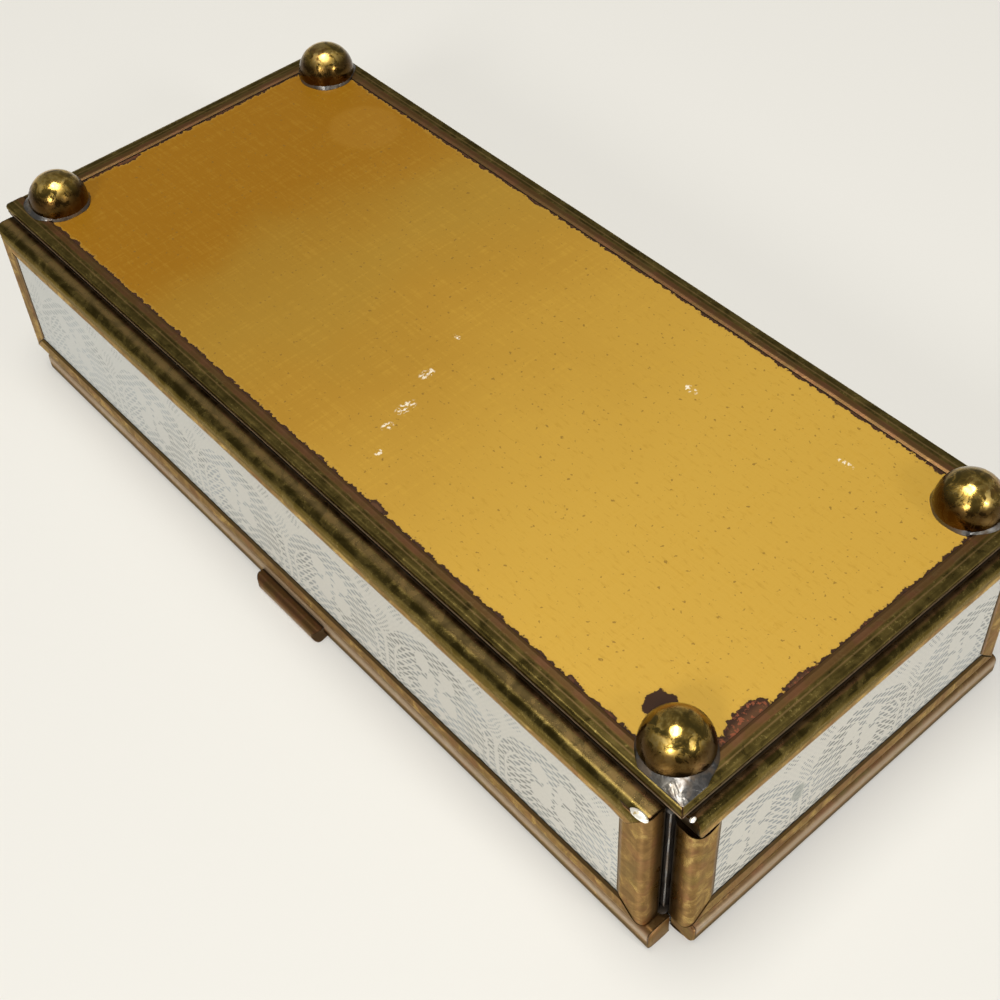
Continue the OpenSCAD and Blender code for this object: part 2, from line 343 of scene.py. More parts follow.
def aged_brass():
    """Tarnish on drawn brass: brown film in patches and streaks along the strip, olive on the rounded
    back, soft bands of worn brass with a painted highlight, mauve grey edges at the lips, and a dark film
    that ends in black, which is dirt in the joints and painted shade in gaps, grooves and corners."""
    c = colours()

    def build(t, i):
        mm = in_mm(t, i["Place"])
        broad = noise(t, mm, 0.085, 2.0)
        patch = noise(t, mm, 0.42, 4.0, 0.62, 0.8)
        fine = noise(t, mm, 2.6, 3.0, 0.7)
        streak = noise(t, scaled(t, i["Along"], (1.6, 9.0, 1.0)), 1.0, 3.0, 0.6)
        ragged = (fine - 0.5) * 0.45 + (patch - 0.5) * 0.8
        film = (patch * 1.2 + streak * 0.45 + broad * 0.7 + i["Tarnish"] - 1.18).step(-0.28, 0.28)
        base = mix(t, c["brass_light"], c["brass_mid"], film.step(0.0, 0.40))
        base = mix(t, base, c["brass_brown"], film.step(0.45, 1.0))
        green = noise(t, mm, 0.19, 2.0, 0.5)
        base = mix(t, base, c["brass_green"], green.step(0.52, 0.66) * 0.55)
        red = noise(t, mm, 0.31, 3.0)
        base = mix(t, base, c["brass_red"], red.step(0.53, 0.68) * 0.55)
        rim = (i["Lip"] + ragged * 0.4).step(0.15, 0.95)
        base = mix(t, base, mix(t, c["brass_rim"], c["brass_mid"], film * 0.5), rim * 0.8)
        olive = (i["Back"] + ragged * 0.2).step(0.10, 0.90)
        deep = mix(t, c["brass_olive"], c["olive_thin"], (streak * 0.7 + patch * 0.5).step(0.50, 0.80))
        deep = mix(t, deep, c["olive_speckle"], (fine * 0.7 + patch * 0.3).step(0.58, 0.64) * 0.45)
        base = mix(t, base, deep, olive * i["Olive"])
        # The fold bands are partly worn brass and partly a painted highlight.
        band = (i["Fold"] + ragged * 0.34).step(0.20, 1.05)
        rubbed = mix(t, c["brass_light"], c["brass_mid"], film * 0.7 + 0.3)
        base = mix(t, base, rubbed, band * i["Wear"] * 0.75)
        pit = fine.step(0.63, 0.72)
        base = mix(t, base, c["pit"], pit * (1.0 - i["Back"]) * 0.35)
        brown = mix(t, c["brass_brown"], c["brass_russet"], red.step(0.46, 0.58) * 0.7)
        base = mix(t, base, brown, (i["Grime"] + ragged * 0.32).step(0.02, 0.26) * 0.75)
        # Dark film, then black, from the mask: dirt in joints, and painted shade in gaps, grooves and
        # corners.
        dark = (i["Grime"] + ragged * 0.22).step(0.06, 0.55)
        base = mix(t, base, c["soot"], dark * 0.9)
        dirt = (i["Grime"] + ragged * 0.15).step(0.80, 1.0)
        base = mix(t, base, c["grime"], dirt)
        rough = (film * 0.12 + patch * 0.10 + i["Lip"] * 0.06 + 0.22 - olive * 0.06 + dirt * 0.35).high(0.14)
        metal = (1.0 - film * 0.15 - rim * 0.55 - dirt * 0.6).high(0.2)
        height = fine * 0.5 + streak * 0.3 - pit * 0.3 + patch * 0.5
        return base, rough, metal, height

    numbers = {"Lip": 0.0, "Fold": 0.0, "Back": 0.0, "Grime": 0.0, "Tarnish": 0.0, "Olive": 1.0, "Wear": 1.0}
    inputs = [("Place", "Vector", None), ("Along", "Vector", None)]
    inputs += [(name, "Float", value) for name, value in numbers.items()]
    outputs = [("Colour", "Color"), ("Roughness", "Float"), ("Metal", "Float"), ("Height", "Float")]
    return group("aged brass", inputs, outputs, build)


def pits():
    """Small soft dents and dust specks, from two scales of noise."""
    def build(t, i):
        mm = in_mm(t, i["Place"])
        a = noise(t, mm, 1.1, 3.0)
        b = noise(t, mm, 5.5, 3.0, 0.65)
        return b.step(0.62, 0.74), a * 0.6 + b * 0.4

    return group("pits", [("Place", "Vector", None)], [("Specks", "Float"), ("Dents", "Float")], build)


def place(t):
    """Object coordinates, in metres."""
    return node(t, "ShaderNodeTexCoord", out="Object")


def mask(t, name):
    """A mask that the piece's mesh carries."""
    return node(t, "ShaderNodeAttribute", out="Fac", props={"attribute_name": name})


def brass(name="brass came", tarnish=0.0, wear=1.0, olive=1.0, masks=True):
    """Brass strip: the aged brass group on a metal shader, with the masks of the piece, or the same values
    all over.
    """
    def build(t):
        flat = {"Lip": 0.0, "Fold": 0.2, "Back": 0.25, "Grime": 0.0}
        worn = {k: mask(t, k.lower()) if masks else v for k, v in flat.items()}
        g = use(t, aged_brass(), Place=place(t), Along=node(t, "ShaderNodeTexCoord", out="UV"),
                Tarnish=tarnish, Wear=wear, Olive=olive, **worn)
        return {"Base Color": g["Colour"], "Roughness": g["Roughness"], "Metallic": g["Metal"],
                "Height": (g["Height"], 0.35, 0.00004)}
    return material(name, build, Specular_Tint=TINTS["brass_gloss"] + (1.0,))


def ball_brass():
    """Polished feet under blotches of olive and brown film, with bright rubbed speckles."""
    c = colours()

    def build(t):
        mm = in_mm(t, place(t))
        blot = noise(t, mm, 0.46, 4.0, 0.65, 0.8)
        cloud = noise(t, mm, 0.13, 2.0)
        speck = noise(t, mm, 1.9, 3.0, 0.7)
        g = use(t, pits(), Place=place(t))
        bright = (blot * 0.7 + speck * 0.5 + cloud * 0.3).step(0.72, 0.90)
        col = mix(t, c["ball_dark"], c["ball_mid"], (blot * 0.8 + cloud * 0.4).step(0.46, 0.74))
        col = mix(t, col, c["ball_red"], noise(t, mm, 0.23, 2.0).step(0.54, 0.68) * 0.6)
        col = mix(t, col, c["ball_light"], bright * 0.65)
        col = mix(t, col, c["ball_speck"], g["Specks"] * 0.4)
        above = parts(t, mm)[2]    # height over the floor
        # The half of the ball next to the solder is darker.
        foot = (above + (blot - 0.5) * 2.4).step(0.8, 2.5)
        col = mix(t, col, c["ball_foot"], foot * 0.94)
        film = blot.step(0.42, 0.58) * above.step(0.25, 0.8)
        rough = 0.09 + speck * 0.12 + film * 0.26
        return {"Base Color": col, "Roughness": rough, "Metallic": 1.0 - g["Specks"] * 0.3,
                "Height": (g["Dents"] + blot * 0.5 + speck * film * 1.6, 0.30, 0.00003)}
    return material("ball brass", build)


def solder(name="soft solder", dark=0.0, lumpy=1.0):
    """Dull grey solder, smooth with low lumps, brown flux in patches and specks of dirt. dark adds to
    the dirt all over, and lumpy is a factor on the height of the lumps."""
    c = colours()

    def build(t):
        mm = in_mm(t, place(t))
        g = use(t, pits(), Place=place(t))
        stain = noise(t, mm, 0.38, 3.0, 0.6, 0.5).step(0.46, 0.62)
        pale = noise(t, mm, 0.27, 2.0).step(0.50, 0.64)
        col = mix(t, c["tin"], c["tin_pale"], pale * 0.6)
        col = mix(t, col, c["tin_brown"], stain * 0.8)
        col = mix(t, col, c["tin_speck"], g["Specks"] * 0.5 + dark)
        dirt = mask(t, "grime")
        col = mix(t, col, c["grime"], dirt)
        ridge = noise(t, mm, 0.55, 2.0, 0.5, 1.2)
        return {"Base Color": col, "Roughness": 0.33 + stain * 0.15 + dirt * 0.4,
                "Metallic": 1.0 - stain * 0.30,
                "Height": (ridge + g["Dents"] * 0.02, 0.42 * lumpy, 0.00028)}
    return material(name, build)


def bright_drop():
    """A solder drop whose near white colour is a painted glint, with patches of the brass colour under it."""
    c = colours()

    def build(t):
        tone = noise(t, in_mm(t, place(t)), 0.9, 3.0)
        return {"Base Color": mix(t, c["drop_glint"], c["drop_brass"], tone.step(0.54, 0.66)),
                "Roughness": 0.34 + tone * 0.12, "Height": (tone, 0.4, 0.0002)}
    return material("bright solder", build, Metallic=0.62)


# ---------------------------------------------------------------- surfaces

def fillet(points, radii, n=6):
    """Closed outline through the corners, each cut by an arc of its radius: the arc's centre lies on
    the bisector at radius / sin(half angle) from the corner."""
    p = np.array(points, float)
    out = []
    for k, r in enumerate(radii):
        before, corner, after = p[k - 1], p[k], p[(k + 1) % len(p)]
        u = (before - corner) / np.linalg.norm(before - corner)
        v = (after - corner) / np.linalg.norm(after - corner)
        half = math.acos(float(np.clip(u @ v, -1, 1))) / 2
        w = (u + v) / np.linalg.norm(u + v)
        centre = corner + w * r / math.sin(half)
        s, e = corner + u * r / math.tan(half) - centre, corner + v * r / math.tan(half) - centre
        turn = math.atan2(s[0] * e[1] - s[1] * e[0], s @ e)
        ang = math.atan2(s[1], s[0]) + np.linspace(0, 1, n + 1) * turn
        out.append(centre + r * np.stack([np.cos(ang), np.sin(ang)], 1))
    return np.concatenate(out)


def dense(line, step):
    """The closed outline with its long straight runs divided, and with a point close to each of their
    ends, which keeps the shading of the flat and the arc apart."""
    close = 0.06
    out = []
    for a, b in zip(line, np.roll(line, -1, 0)):
        d = np.linalg.norm(b - a)
        if d < step:
            out.append(a[None])
            continue
        f = np.concatenate([[0, close / d], np.linspace(0, 1, int(d / step) + 2)[1:-1], [1 - close / d]])
        out.append(a + (b - a) * f[:, None])
    return np.concatenate(out)


# What a mesh carries for the brass: the pale edge of a lip, bands of worn brass with a painted highlight, the
# olive back, and dirt together with painted shade.
MASKS = ("lip", "fold", "back", "grime")


def near(v, at, width):
    """1 at a value, falling to 0 like a bell over the width."""
    return np.exp(-((v - at) / width) ** 2)


def ramp(v, start, width):
    """0 up to start, rising evenly to 1 over the width, or falling the other way if it is negative."""
    return np.clip((v - start) / width, 0, 1)


def run_length(a, b):
    """Distance along a line of points from its first one."""
    return np.concatenate([[0], np.cumsum(np.hypot(np.diff(a), np.diff(b)))])


def came_outline(depth, s, lip, back):
    """Outline of the came strip: t runs in from the back over the glass, h across the thickness. The
    outside of each lip slopes down at its edge. Returns the points and the masks: slope of the lip,
    bands of worn brass with a painted highlight, olive over the outer face and back, and painted shade
    at the glass and in the groove."""
    skin, web, slope = s["came_skin"], s["came_web"], s["lip_slope"]
    drop = skin - 0.08                        # fall of the slope, which leaves a thin blunt edge
    bend, blunt, inside = 0.7, 0.03, 0.08     # radii: where the slope starts, its edge, in the groove
    pts = [(0, depth), (lip - slope, depth), (lip, depth - drop), (lip, depth - skin), (web, depth - skin),
           (web, skin), (lip, skin), (lip, drop), (lip - slope, 0), (0, 0)]
    radii = [back, bend, blunt, blunt, inside, inside, blunt, blunt, bend, back]
    t, h = dense(fillet(pts, radii, 9), 0.35).T
    off = np.minimum(h, depth - h)
    outside = (off < skin * 0.95) | (t < back)
    face = lip - 1.3                          # end of the olive face
    # The bands below are partly worn brass and partly a painted highlight.
    back_wear_and_highlight = near(h, depth - back - 0.5, 0.85) * (t < 0.3)
    face_wear_and_highlight = near(t, face, 0.5) * (off < 0.15)
    # Black in the groove and a darker last half millimetre of the lip at the glass: painted shade.
    at_glass = (t > lip - 0.05) | ~outside
    return t, h, {"lip": ramp(t, lip - slope - 0.1, 0.6) * outside,
                  "fold": 0.9 * back_wear_and_highlight + 0.4 * face_wear_and_highlight,
                  "back": ramp(t, face, -1.0) * outside,
                  "grime": np.maximum(1.0 * at_glass, 0.5 * ramp(t, lip - 0.5, 0.3))}


def base_outline(depth, s):
    """Outline of the base came: a flat lip over the plate, a rounded bead, and under it a thin flange
    that lies on the walls, parted from the bead by a groove. Each corner is t, h and its radius."""
    lip, skin, web = s["base_lip"], s["base_skin"], 1.0
    flange, groove = 0.14, 0.46               # where the flange ends and the bead begins
    corners = [(0, depth, 0.55), (lip - 0.5, depth, 0.5), (lip, depth - 0.2, 0.04),
               (lip, depth - skin, 0.04), (web, depth - skin, 0.05), (web, skin, 0.05),
               (lip, skin, 0.05), (lip, 0, 0.05), (0.95, 0, 0.05),
               (0.95, flange, 0.04), (0.10, flange, 0.06), (0.10, groove, 0.06),
               (0.85, groove, 0.05), (0.85, 0.64, 0.04), (0, 0.74, 0.3)]
    t, h = dense(fillet([c[:2] for c in corners], [c[2] for c in corners], 7), 0.3).T
    top = h > depth - 0.25
    flange_edge = (h < 0.5) & (h > 0.12) & (t < 0.5)
    at_glass = t > lip - 0.05
    in_groove = (h > 0.44) & (h < 0.68) & (t > 0.2)
    under = (h < 0.14) & (t < 0.95)
    # Black in the groove and under the flange is painted shade in the gap over the walls.
    return t, h, {"lip": 0.32 * ramp(t, 2.2, 0.7) * top + 0.7 * flange_edge,
                  "fold": 0.9 * near(t, 1.45, 0.14) * top + 0.3 * near(t, 0.5, 0.2) * top,
                  "back": ramp(t, 2.35, -0.6) * (h > 0.6),
                  "grime": 0.22 * (top & (t > 2.3)) + 1.0 * (at_glass | in_groove | under)}


def waver(s, seed, long=41.0):
    """Hand-made unevenness along a rail: four sines whose phases come from the seed, between -1 and 1."""
    k = np.arange(1, 5)
    ph = np.sin(seed * 12.9898 + k * 78.233) * 43758.5453
    return (np.sin(s[..., None] / (long / k) * 2 * math.pi + ph) / k).sum(-1) / 2.08


def grid_faces(n, m, loop):
    """Quads of an n by m grid whose columns run round, and whose rows do so too where it is a loop."""
    i, j = np.meshgrid(np.arange(n if loop else n - 1), np.arange(m), indexing="ij")
    below, beside = (i + 1) % n, (j + 1) % m
    return np.stack([i * m + j, i * m + beside, below * m + beside, below * m + j], -1).reshape(-1, 4)


def shell(p, u, v, masks=None, loop=False):
    """Closed surface from a grid of points p[i, j] whose j runs round: quads, UV by corner, and caps on
    the first and the last row or, where it is a loop, quads from the last row back to the first. Faces
    are turned to point outwards by the sign of the volume."""
    n, m = p.shape[:2]
    quads = grid_faces(n, m, loop)
    v = np.broadcast_to(v, (n, m))
    uu = np.concatenate([u, u[:, :1]], 1)
    vv = np.concatenate([v, v[:, :1] + (v[:, -1:] - v[:, :1]) * m / (m - 1)], 1)
    if loop:
        uu = np.concatenate([uu, 2 * uu[-1:] - uu[-2:-1]])
        vv = np.concatenate([vv, vv[:1]])
    q = np.stack([uu, vv], -1)
    uv = np.stack([q[:-1, :-1], q[:-1, 1:], q[1:, 1:], q[1:, :-1]], 2).reshape(-1, 4, 2)
    faces, fuv = quads.tolist(), list(uv)
    tri = [quads[:, [0, 1, 2, 0, 2, 3]].reshape(-1, 3)]
    if not loop:
        flat = np.stack([u, v], -1).reshape(-1, 2)
        for cap in (np.arange(m)[::-1], (n - 1) * m + np.arange(m)):
            faces.append(cap.tolist())
            fuv.append(flat[cap])
            tri.append(np.stack([np.full(m - 2, cap[0]), cap[1:-1], cap[2:]], 1))
    pts = p.reshape(-1, 3)
    a, b, c = pts[np.concatenate(tri)].transpose(1, 0, 2)
    if np.einsum("ij,ij->i", a, np.cross(b, c)).sum() < 0:
        faces = [f[::-1] for f in faces]
        fuv = [f[::-1] for f in fuv]
    at_points = {k: np.broadcast_to(x, (n, m)).ravel() for k, x in (masks or {}).items()}
    return {"p": pts, "f": faces, "uv": fuv, "m": at_points}


FULL_RAIL = 156.0    # a rail of this length has all the divisions of the panel
BEND = 1.4           # the lips of a spread rail or a stile bend from here, off the back
SPREAD = 6.5         # and a spread rail's come back to their place over this length
UV_UNIT = 10.0       # millimetres of a surface to one unit of its UV map


def rail(start, stop, inward, outward, outline, cut_a, cut_b, seed, steps, wobble=0.06, flare=(0, 0)):
    """Came swept along a straight line: point = start + s along + t inward + h outward, with s from
    cut_a(t) to the length less cut_b(t). The lips and the back waver slightly along s, always inwards,
    the lips spread by flare at the start and end, and dirt sits at the ends."""
    t, h, masks = outline
    start, stop = np.array(start, float), np.array(stop, float)
    run = np.linalg.norm(stop - start)
    along = (stop - start) / run
    ends = np.array([0.0, 0.10, 0.22, 0.5]) / run
    inner = np.linspace(0, 1, max(3, int(steps * run / FULL_RAIL)))[1:-1]
    if any(flare):
        spread = np.linspace(1, 8, 15) / run
        inner = np.unique(np.concatenate([inner, spread, 1 - spread]))
    k = np.concatenate([ends, inner[(inner > ends[-1]) & (inner < 1 - ends[-1])], 1 - ends[::-1]])[:, None]
    s = cut_a(t)[None] * (1 - k) + (run - cut_b(t)[None]) * k
    fade = np.clip(t / t.max(), 0, 1)[None]
    lips = wobble * (waver(s, seed) - 1) * fade * 1.2
    back = wobble * 0.4 * (1 + waver(s, seed + 5, 63)) * (1 - fade)
    tt = t[None] + lips + back
    mid = h.mean()
    hh = mid + (h[None] - mid) * (1 - wobble * 0.10 * (1 + waver(s, seed + 9, 29)))
    for extra, from_end in zip(flare, (s, run - s)):
        if extra:
            tt = tt + extra * ramp(from_end, SPREAD, -SPREAD) ** 1.3 * ramp(t[None], BEND, t.max() - BEND)
    p = (start + s[..., None] * along + tt[..., None] * np.array(inward, float)
         + hh[..., None] * np.array(outward, float))
    m = {key: v[None] + 0 * s for key, v in masks.items()}
    end = np.minimum(k, 1 - k) * run
    m["grime"] = np.maximum(m["grime"], np.clip(0.62 - end / 0.35, 0, 1))
    return shell(p, s / UV_UNIT + seed * 3.7, run_length(t, h)[None] / UV_UNIT, m)


def turned(r, along, a, axis, centre):
    """Points at the radius r and the angle a round the axis through the centre, and along it."""
    x, y, along = r * np.cos(a), r * np.sin(a), along + 0 * a
    return np.stack({"z": (x, y, along), "x": (along, x, y)}[axis], -1) + np.array(centre, float)


def revolve(centre, radius, height, turns=64, axis="z", ripple=None):
    """Surface of revolution: radius and height along the profile, turned about the axis, with ripple(a, i)
    a factor on the radius. The profile starts and ends on the axis."""
    a = np.linspace(0, 2 * math.pi, turns, endpoint=False)[None]
    r, z = np.array(radius, float)[:, None], np.array(height, float)[:, None]
    f = ripple(a, np.arange(len(r))[:, None]) if ripple else 1.0
    p = turned(r * f, z, a, axis, centre)
    arc = run_length(r[:, 0], z[:, 0])[:, None]
    return shell(p, arc / UV_UNIT + 0 * a, a * np.max(radius) / UV_UNIT)


def ring(centre, radius, height, turns=48):
    """A tube: the closed profile of radius and height turned about X, as a torus-like grid."""
    a = np.linspace(0, 2 * math.pi, turns, endpoint=False)[:, None]
    r, z = np.array(radius, float)[None], np.array(height, float)[None]
    p = turned(r, z, a, "x", centre)
    u = a * np.max(radius) / UV_UNIT + 0 * r
    return shell(p, u, run_length(r[0], z[0])[None] / UV_UNIT, loop=True)


def added(name, data):
    """A new object in the scene that carries the data."""
    ob = bpy.data.objects.new(name, data)
    bpy.context.scene.collection.objects.link(ob)
    return ob


def piece(name, shells, mat, body, replaced=(), smooth=38.0):
    """Joins shells into one mesh at the origin, in metres, with its UV map and masks, and lets it ride.
    Edges sharper than smooth, in degrees, stay sharp."""
    points = np.concatenate([s["p"] for s in shells]) * MM
    faces, uv, base = [], [], 0
    for s in shells:
        faces += [[i + base for i in f] for f in s["f"]]
        uv += s["uv"]
        base += len(s["p"])
    me = bpy.data.meshes.new(name)
    me.from_pydata(points.tolist(), [], faces)
    layer = me.uv_layers.new(name="UVMap")
    layer.data.foreach_set("uv", np.concatenate([np.array(f, float) for f in uv]).ravel())
    for key in MASKS:
        att = me.attributes.new(key, "FLOAT", "POINT")
        values = [s["m"].get(key, np.zeros(len(s["p"]))) for s in shells]
        att.data.foreach_set("value", np.concatenate(values))
    me.polygons.foreach_set("use_smooth", np.ones(len(me.polygons), bool))
    me.set_sharp_from_angle(angle=math.radians(smooth))
    me.update()
    me.validate()
    me.materials.append(mat)
    ob = added(name, me)
    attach(ob, body)
    if replaced:
        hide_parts(*replaced)
    return ob


def dress(name, mat):
    """Gives a CAD node's object its material."""
    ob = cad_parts[name]
    ob.data.materials.clear()
    ob.data.materials.append(mat)
    return ob


# ---------------------------------------------------------------- frames of came

def mitre(t):
    """The cut of a mitre, a hair short so that two rails don't touch."""
    return t + 0.04


def flat_cut(d):
    """A square cut at the distance d from the corner."""
    return lambda t: np.full_like(t, d)


def lap_cut(t):
    """Tongue at the lapped end of a rail: the cut retreats with the fifth power of t, which rounds
    its lip."""
    return 0.15 + 1.5 * (t / t.max()) ** 5


def lap_rest(lip, gap, hollow=0.0):
    """The stile that meets the lapped rail ends just under the rail's lip, with a shallow hollow."""
    under = 0.25
    return lambda t: lip + gap - under + hollow * np.sin(np.clip(t / t.max(), 0, 1) * math.pi) ** 2


def frame_shells(lo, hi, plane, outline, cuts, seed, steps, flares=((0, 0),) * 4, outlines=None):
    """Four rails round a rectangle. plane holds the origin, the directions a and b of the rectangle and
    the way out of it; cuts and flares list the cut and the spread lips at the start and end of the
    bottom, right, top and left rails."""
    origin, ea, eb, out = (np.array(v, float) for v in plane)
    (a0, b0), (a1, b1) = lo, hi
    corners = [origin + a * ea + b * eb for a, b in ((a0, b0), (a1, b0), (a1, b1), (a0, b1))]
    inward = (eb, -ea, -eb, ea)
    return [rail(corners[k], corners[(k + 1) % 4], inward[k], out, (outlines or [outline] * 4)[k], *cuts[k],
                 seed + k * 1.7, steps, flare=flares[k]) for k in range(4)]


# For each wall: the axis along it, the axis and sign of its way out, and the end with the lap.
WALLS = {
    "front": (0, (1, -1), "low"),
    "back": (0, (1, 1), "high"),
    "left": (1, (0, -1), "low"),
    "right": (1, (0, 1), "low"),
}


def crevice(shells):
    """Painted shade on a wall's rail where the base came lies on it: 1 next to the base frame's outline at
    the wall's lower face, falling to 0 within a millimetre."""
    lo, hi = corners_mm("base_frame")
    for s in shells:
        x, y, z = s["p"].T
        beyond = np.maximum(np.maximum(lo[0] - x, x - hi[0]), np.maximum(lo[1] - y, y - hi[1]))
        # film is the painted shade in the gap under the base came.
        film = ramp(beyond, 1.0, -1.0) * np.clip(1.2 - (z - hi[2]) / 0.7, 0, 1)
        s["m"]["grime"] = np.maximum(s["m"]["grime"], film)
    return shells


def upright(outline, s, inset=0.10):
    """Outline of a stile: its lips pressed a little wider over the glass and a hair under the rails, its
    face plain brown brass, with painted shade round the back, deep in the corner where the walls meet."""
    t, h, m = outline
    depth = h.max()
    wide = t + s["stile_wide"] * ramp(t, BEND, t.max() - BEND)
    under = depth / 2 + (h - depth / 2) * (1 - 2 * inset / depth)
    film = 0.17                               # thin brown film all over the face
    # Painted shade on the back, deep in the corner where the walls meet.
    dark = np.clip(1.25 - h / 2.6, 0, 1) * (t < 1.3)
    pale = 0.9 * ramp(t, t.max() - 0.75, 0.35) * (m["grime"] < 0.5)
    return wide, under, {"lip": pale, "grime": np.maximum(np.maximum(m["grime"], film), dark)}


def lid_side(outline):
    """Outline of a wall's rail next to the lid: plain brown face with a painted shadow line along the glass.
    """
    t, h, m = outline
    # 0.17 is the brown film; the ramp at the glass is a painted shadow of the lip.
    return t, h, {"grime": np.maximum(m["grime"], 0.17 + 0.55 * ramp(t, t.max() - 0.95, 0.35))}


def plug(start, stop, inward, outward, s, depth, cut, at, dirt, flare=(0, 0)):
    """Fills the open end of a rail between its lips: a short block, at behind the cut, whose darkness, set by
    dirt, paints the shade inside the open channel.
    """
    run = np.linalg.norm(np.array(stop, float) - start)
    skin, lip, back, thick = s["came_skin"] - 0.05, s["came_lip"] - 0.05, 0.85, 0.6
    corners = [(back, depth - skin), (lip, depth - skin), (lip, skin), (back, skin)]
    t, h = dense(fillet(corners, [0.1] * 4, 3), 0.4).T
    return rail(start, stop, inward, outward, (t, h, {"grime": 0 * t + dirt}),
                lambda q: cut(q) + at, lambda q: run - cut(q) - at - thick, 3.0, 20, 0.0, flare)


def wall_came(name):
    """Came round one wall: bottom rail lapped over the stile at one end, mitres elsewhere. The front
    wall's rail is cut aslant and spread over its stile, the others rest on their stile, which is hollowed
    on the left wall only."""
    s = sizes()
    lo, hi = corners_mm(name + "_frame")
    run, (ax, sign), lap = WALLS[name]
    depth = hi[ax] - lo[ax]
    outline = came_outline(depth, s, s["came_lip"], s["came_round"])
    along, out, origin = np.zeros(3), np.zeros(3), np.zeros(3)
    along[run], out[ax] = 1, sign
    origin[ax] = lo[ax] if sign > 0 else hi[ax]
    if name == "front":
        cut, rest = (lambda t: 0.15 + 0.86 * t), flat_cut(0.5)
        flare, inside, dirt = 1.6, 0.03, 0.25
    else:
        cut, rest = lap_cut, lap_rest(s["came_lip"], s["lap"], 0.7 if name == "left" else 0.0)
        flare, inside, dirt = 0.35, 0.06, 0.5
    cuts, flares = [[mitre, mitre] for _ in range(4)], [[0, 0] for _ in range(4)]
    if lap == "low":
        cuts[0][0], cuts[3][1], flares[0][0] = cut, rest, flare
        ends = (lo[run], hi[run])
    else:
        cuts[0][1], cuts[1][0], flares[0][1] = cut, rest, flare
        ends = (hi[run], lo[run])
    seed = {"front": 1.0, "back": 12.0, "left": 23.0, "right": 34.0}[name]
    up = np.array((0.0, 0.0, 1.0))
    stile = upright(outline, s)
    shells = frame_shells((lo[run], lo[2]), (hi[run], hi[2]), (origin, along, up, out), outline, cuts, seed,
                          s["steps"], flares, [outline, stile, lid_side(outline), stile])
    a, b = (origin + e * along + lo[2] * up for e in ends)
    # The plug's darkness paints the shade inside the open end of the lapped rail.
    shells.append(plug(a, b, up, out, s, depth, cut, inside, dirt, (flare, 0)))
    return piece(name + "_came", crevice(shells), brass(), "case", [name + "_frame"])


class CASKET_OT_wall_cames(bpy.types.Operator):
    """Make the brass came round the four walls"""
    bl_idname = "casket.wall_cames"
    bl_label = "Wall cames"

    def execute(self, context):
        for name in WALLS:
            wall_came(name)
        return {"FINISHED"}


class CASKET_OT_base_came(bpy.types.Operator):
    """Make the thin came round the base plate, open at its front right corner"""
    bl_idname = "casket.base_came"
    bl_label = "Base came"

    def execute(self, context):
        s = sizes()
        lo, hi = corners_mm("base_frame")
        gap = 0.1
        cuts = [(mitre, flat_cut(gap)), (flat_cut(s["base_lip"] + gap), mitre),
                (mitre, mitre), (mitre, mitre)]
        plane = (0, 0, hi[2]), (1, 0, 0), (0, 1, 0), (0, 0, -1)
        shells = frame_shells(lo[:2], hi[:2], plane, base_outline(hi[2] - lo[2], s), cuts, 45.0, s["steps"])
        piece("base_came", shells, brass("base came", tarnish=0.22), "case", ["base_frame"])
        return {"FINISHED"}


def end_cap(start, along, inward, outward, depth, lip, thick=0.3):
    """Closed end of a rail: a thin plate with the outline of the came and no groove, whose outer edge is
    drawn in a little."""
    near_side, far_side = 0.05, lip - 0.1
    pts = [(near_side, depth - 0.05), (far_side, depth - 0.05), (far_side, 0.05), (near_side, 0.05)]
    t, h = fillet(pts, [1.2, 0.5, 0.5, 1.2], 8).T
    along, inward, outward = (np.array(v, float) for v in (along, inward, outward))
    s = np.array([0.0, thick * 0.3, thick])[:, None]
    shrink = np.array([0.94, 1.0, 1.0])[:, None]
    tt = lip / 2 + (t[None] - lip / 2) * shrink
    hh = depth / 2 + (h[None] - depth / 2) * shrink
    p = np.array(start, float) + s[..., None] * along + tt[..., None] * inward + hh[..., None] * outward
    dirt = 0.2 * (1 - np.minimum(s / thick * 4, 1))
    return shell(p, s / UV_UNIT + 0 * t[None], t[None] / UV_UNIT, {"grime": dirt + 0 * t[None]})


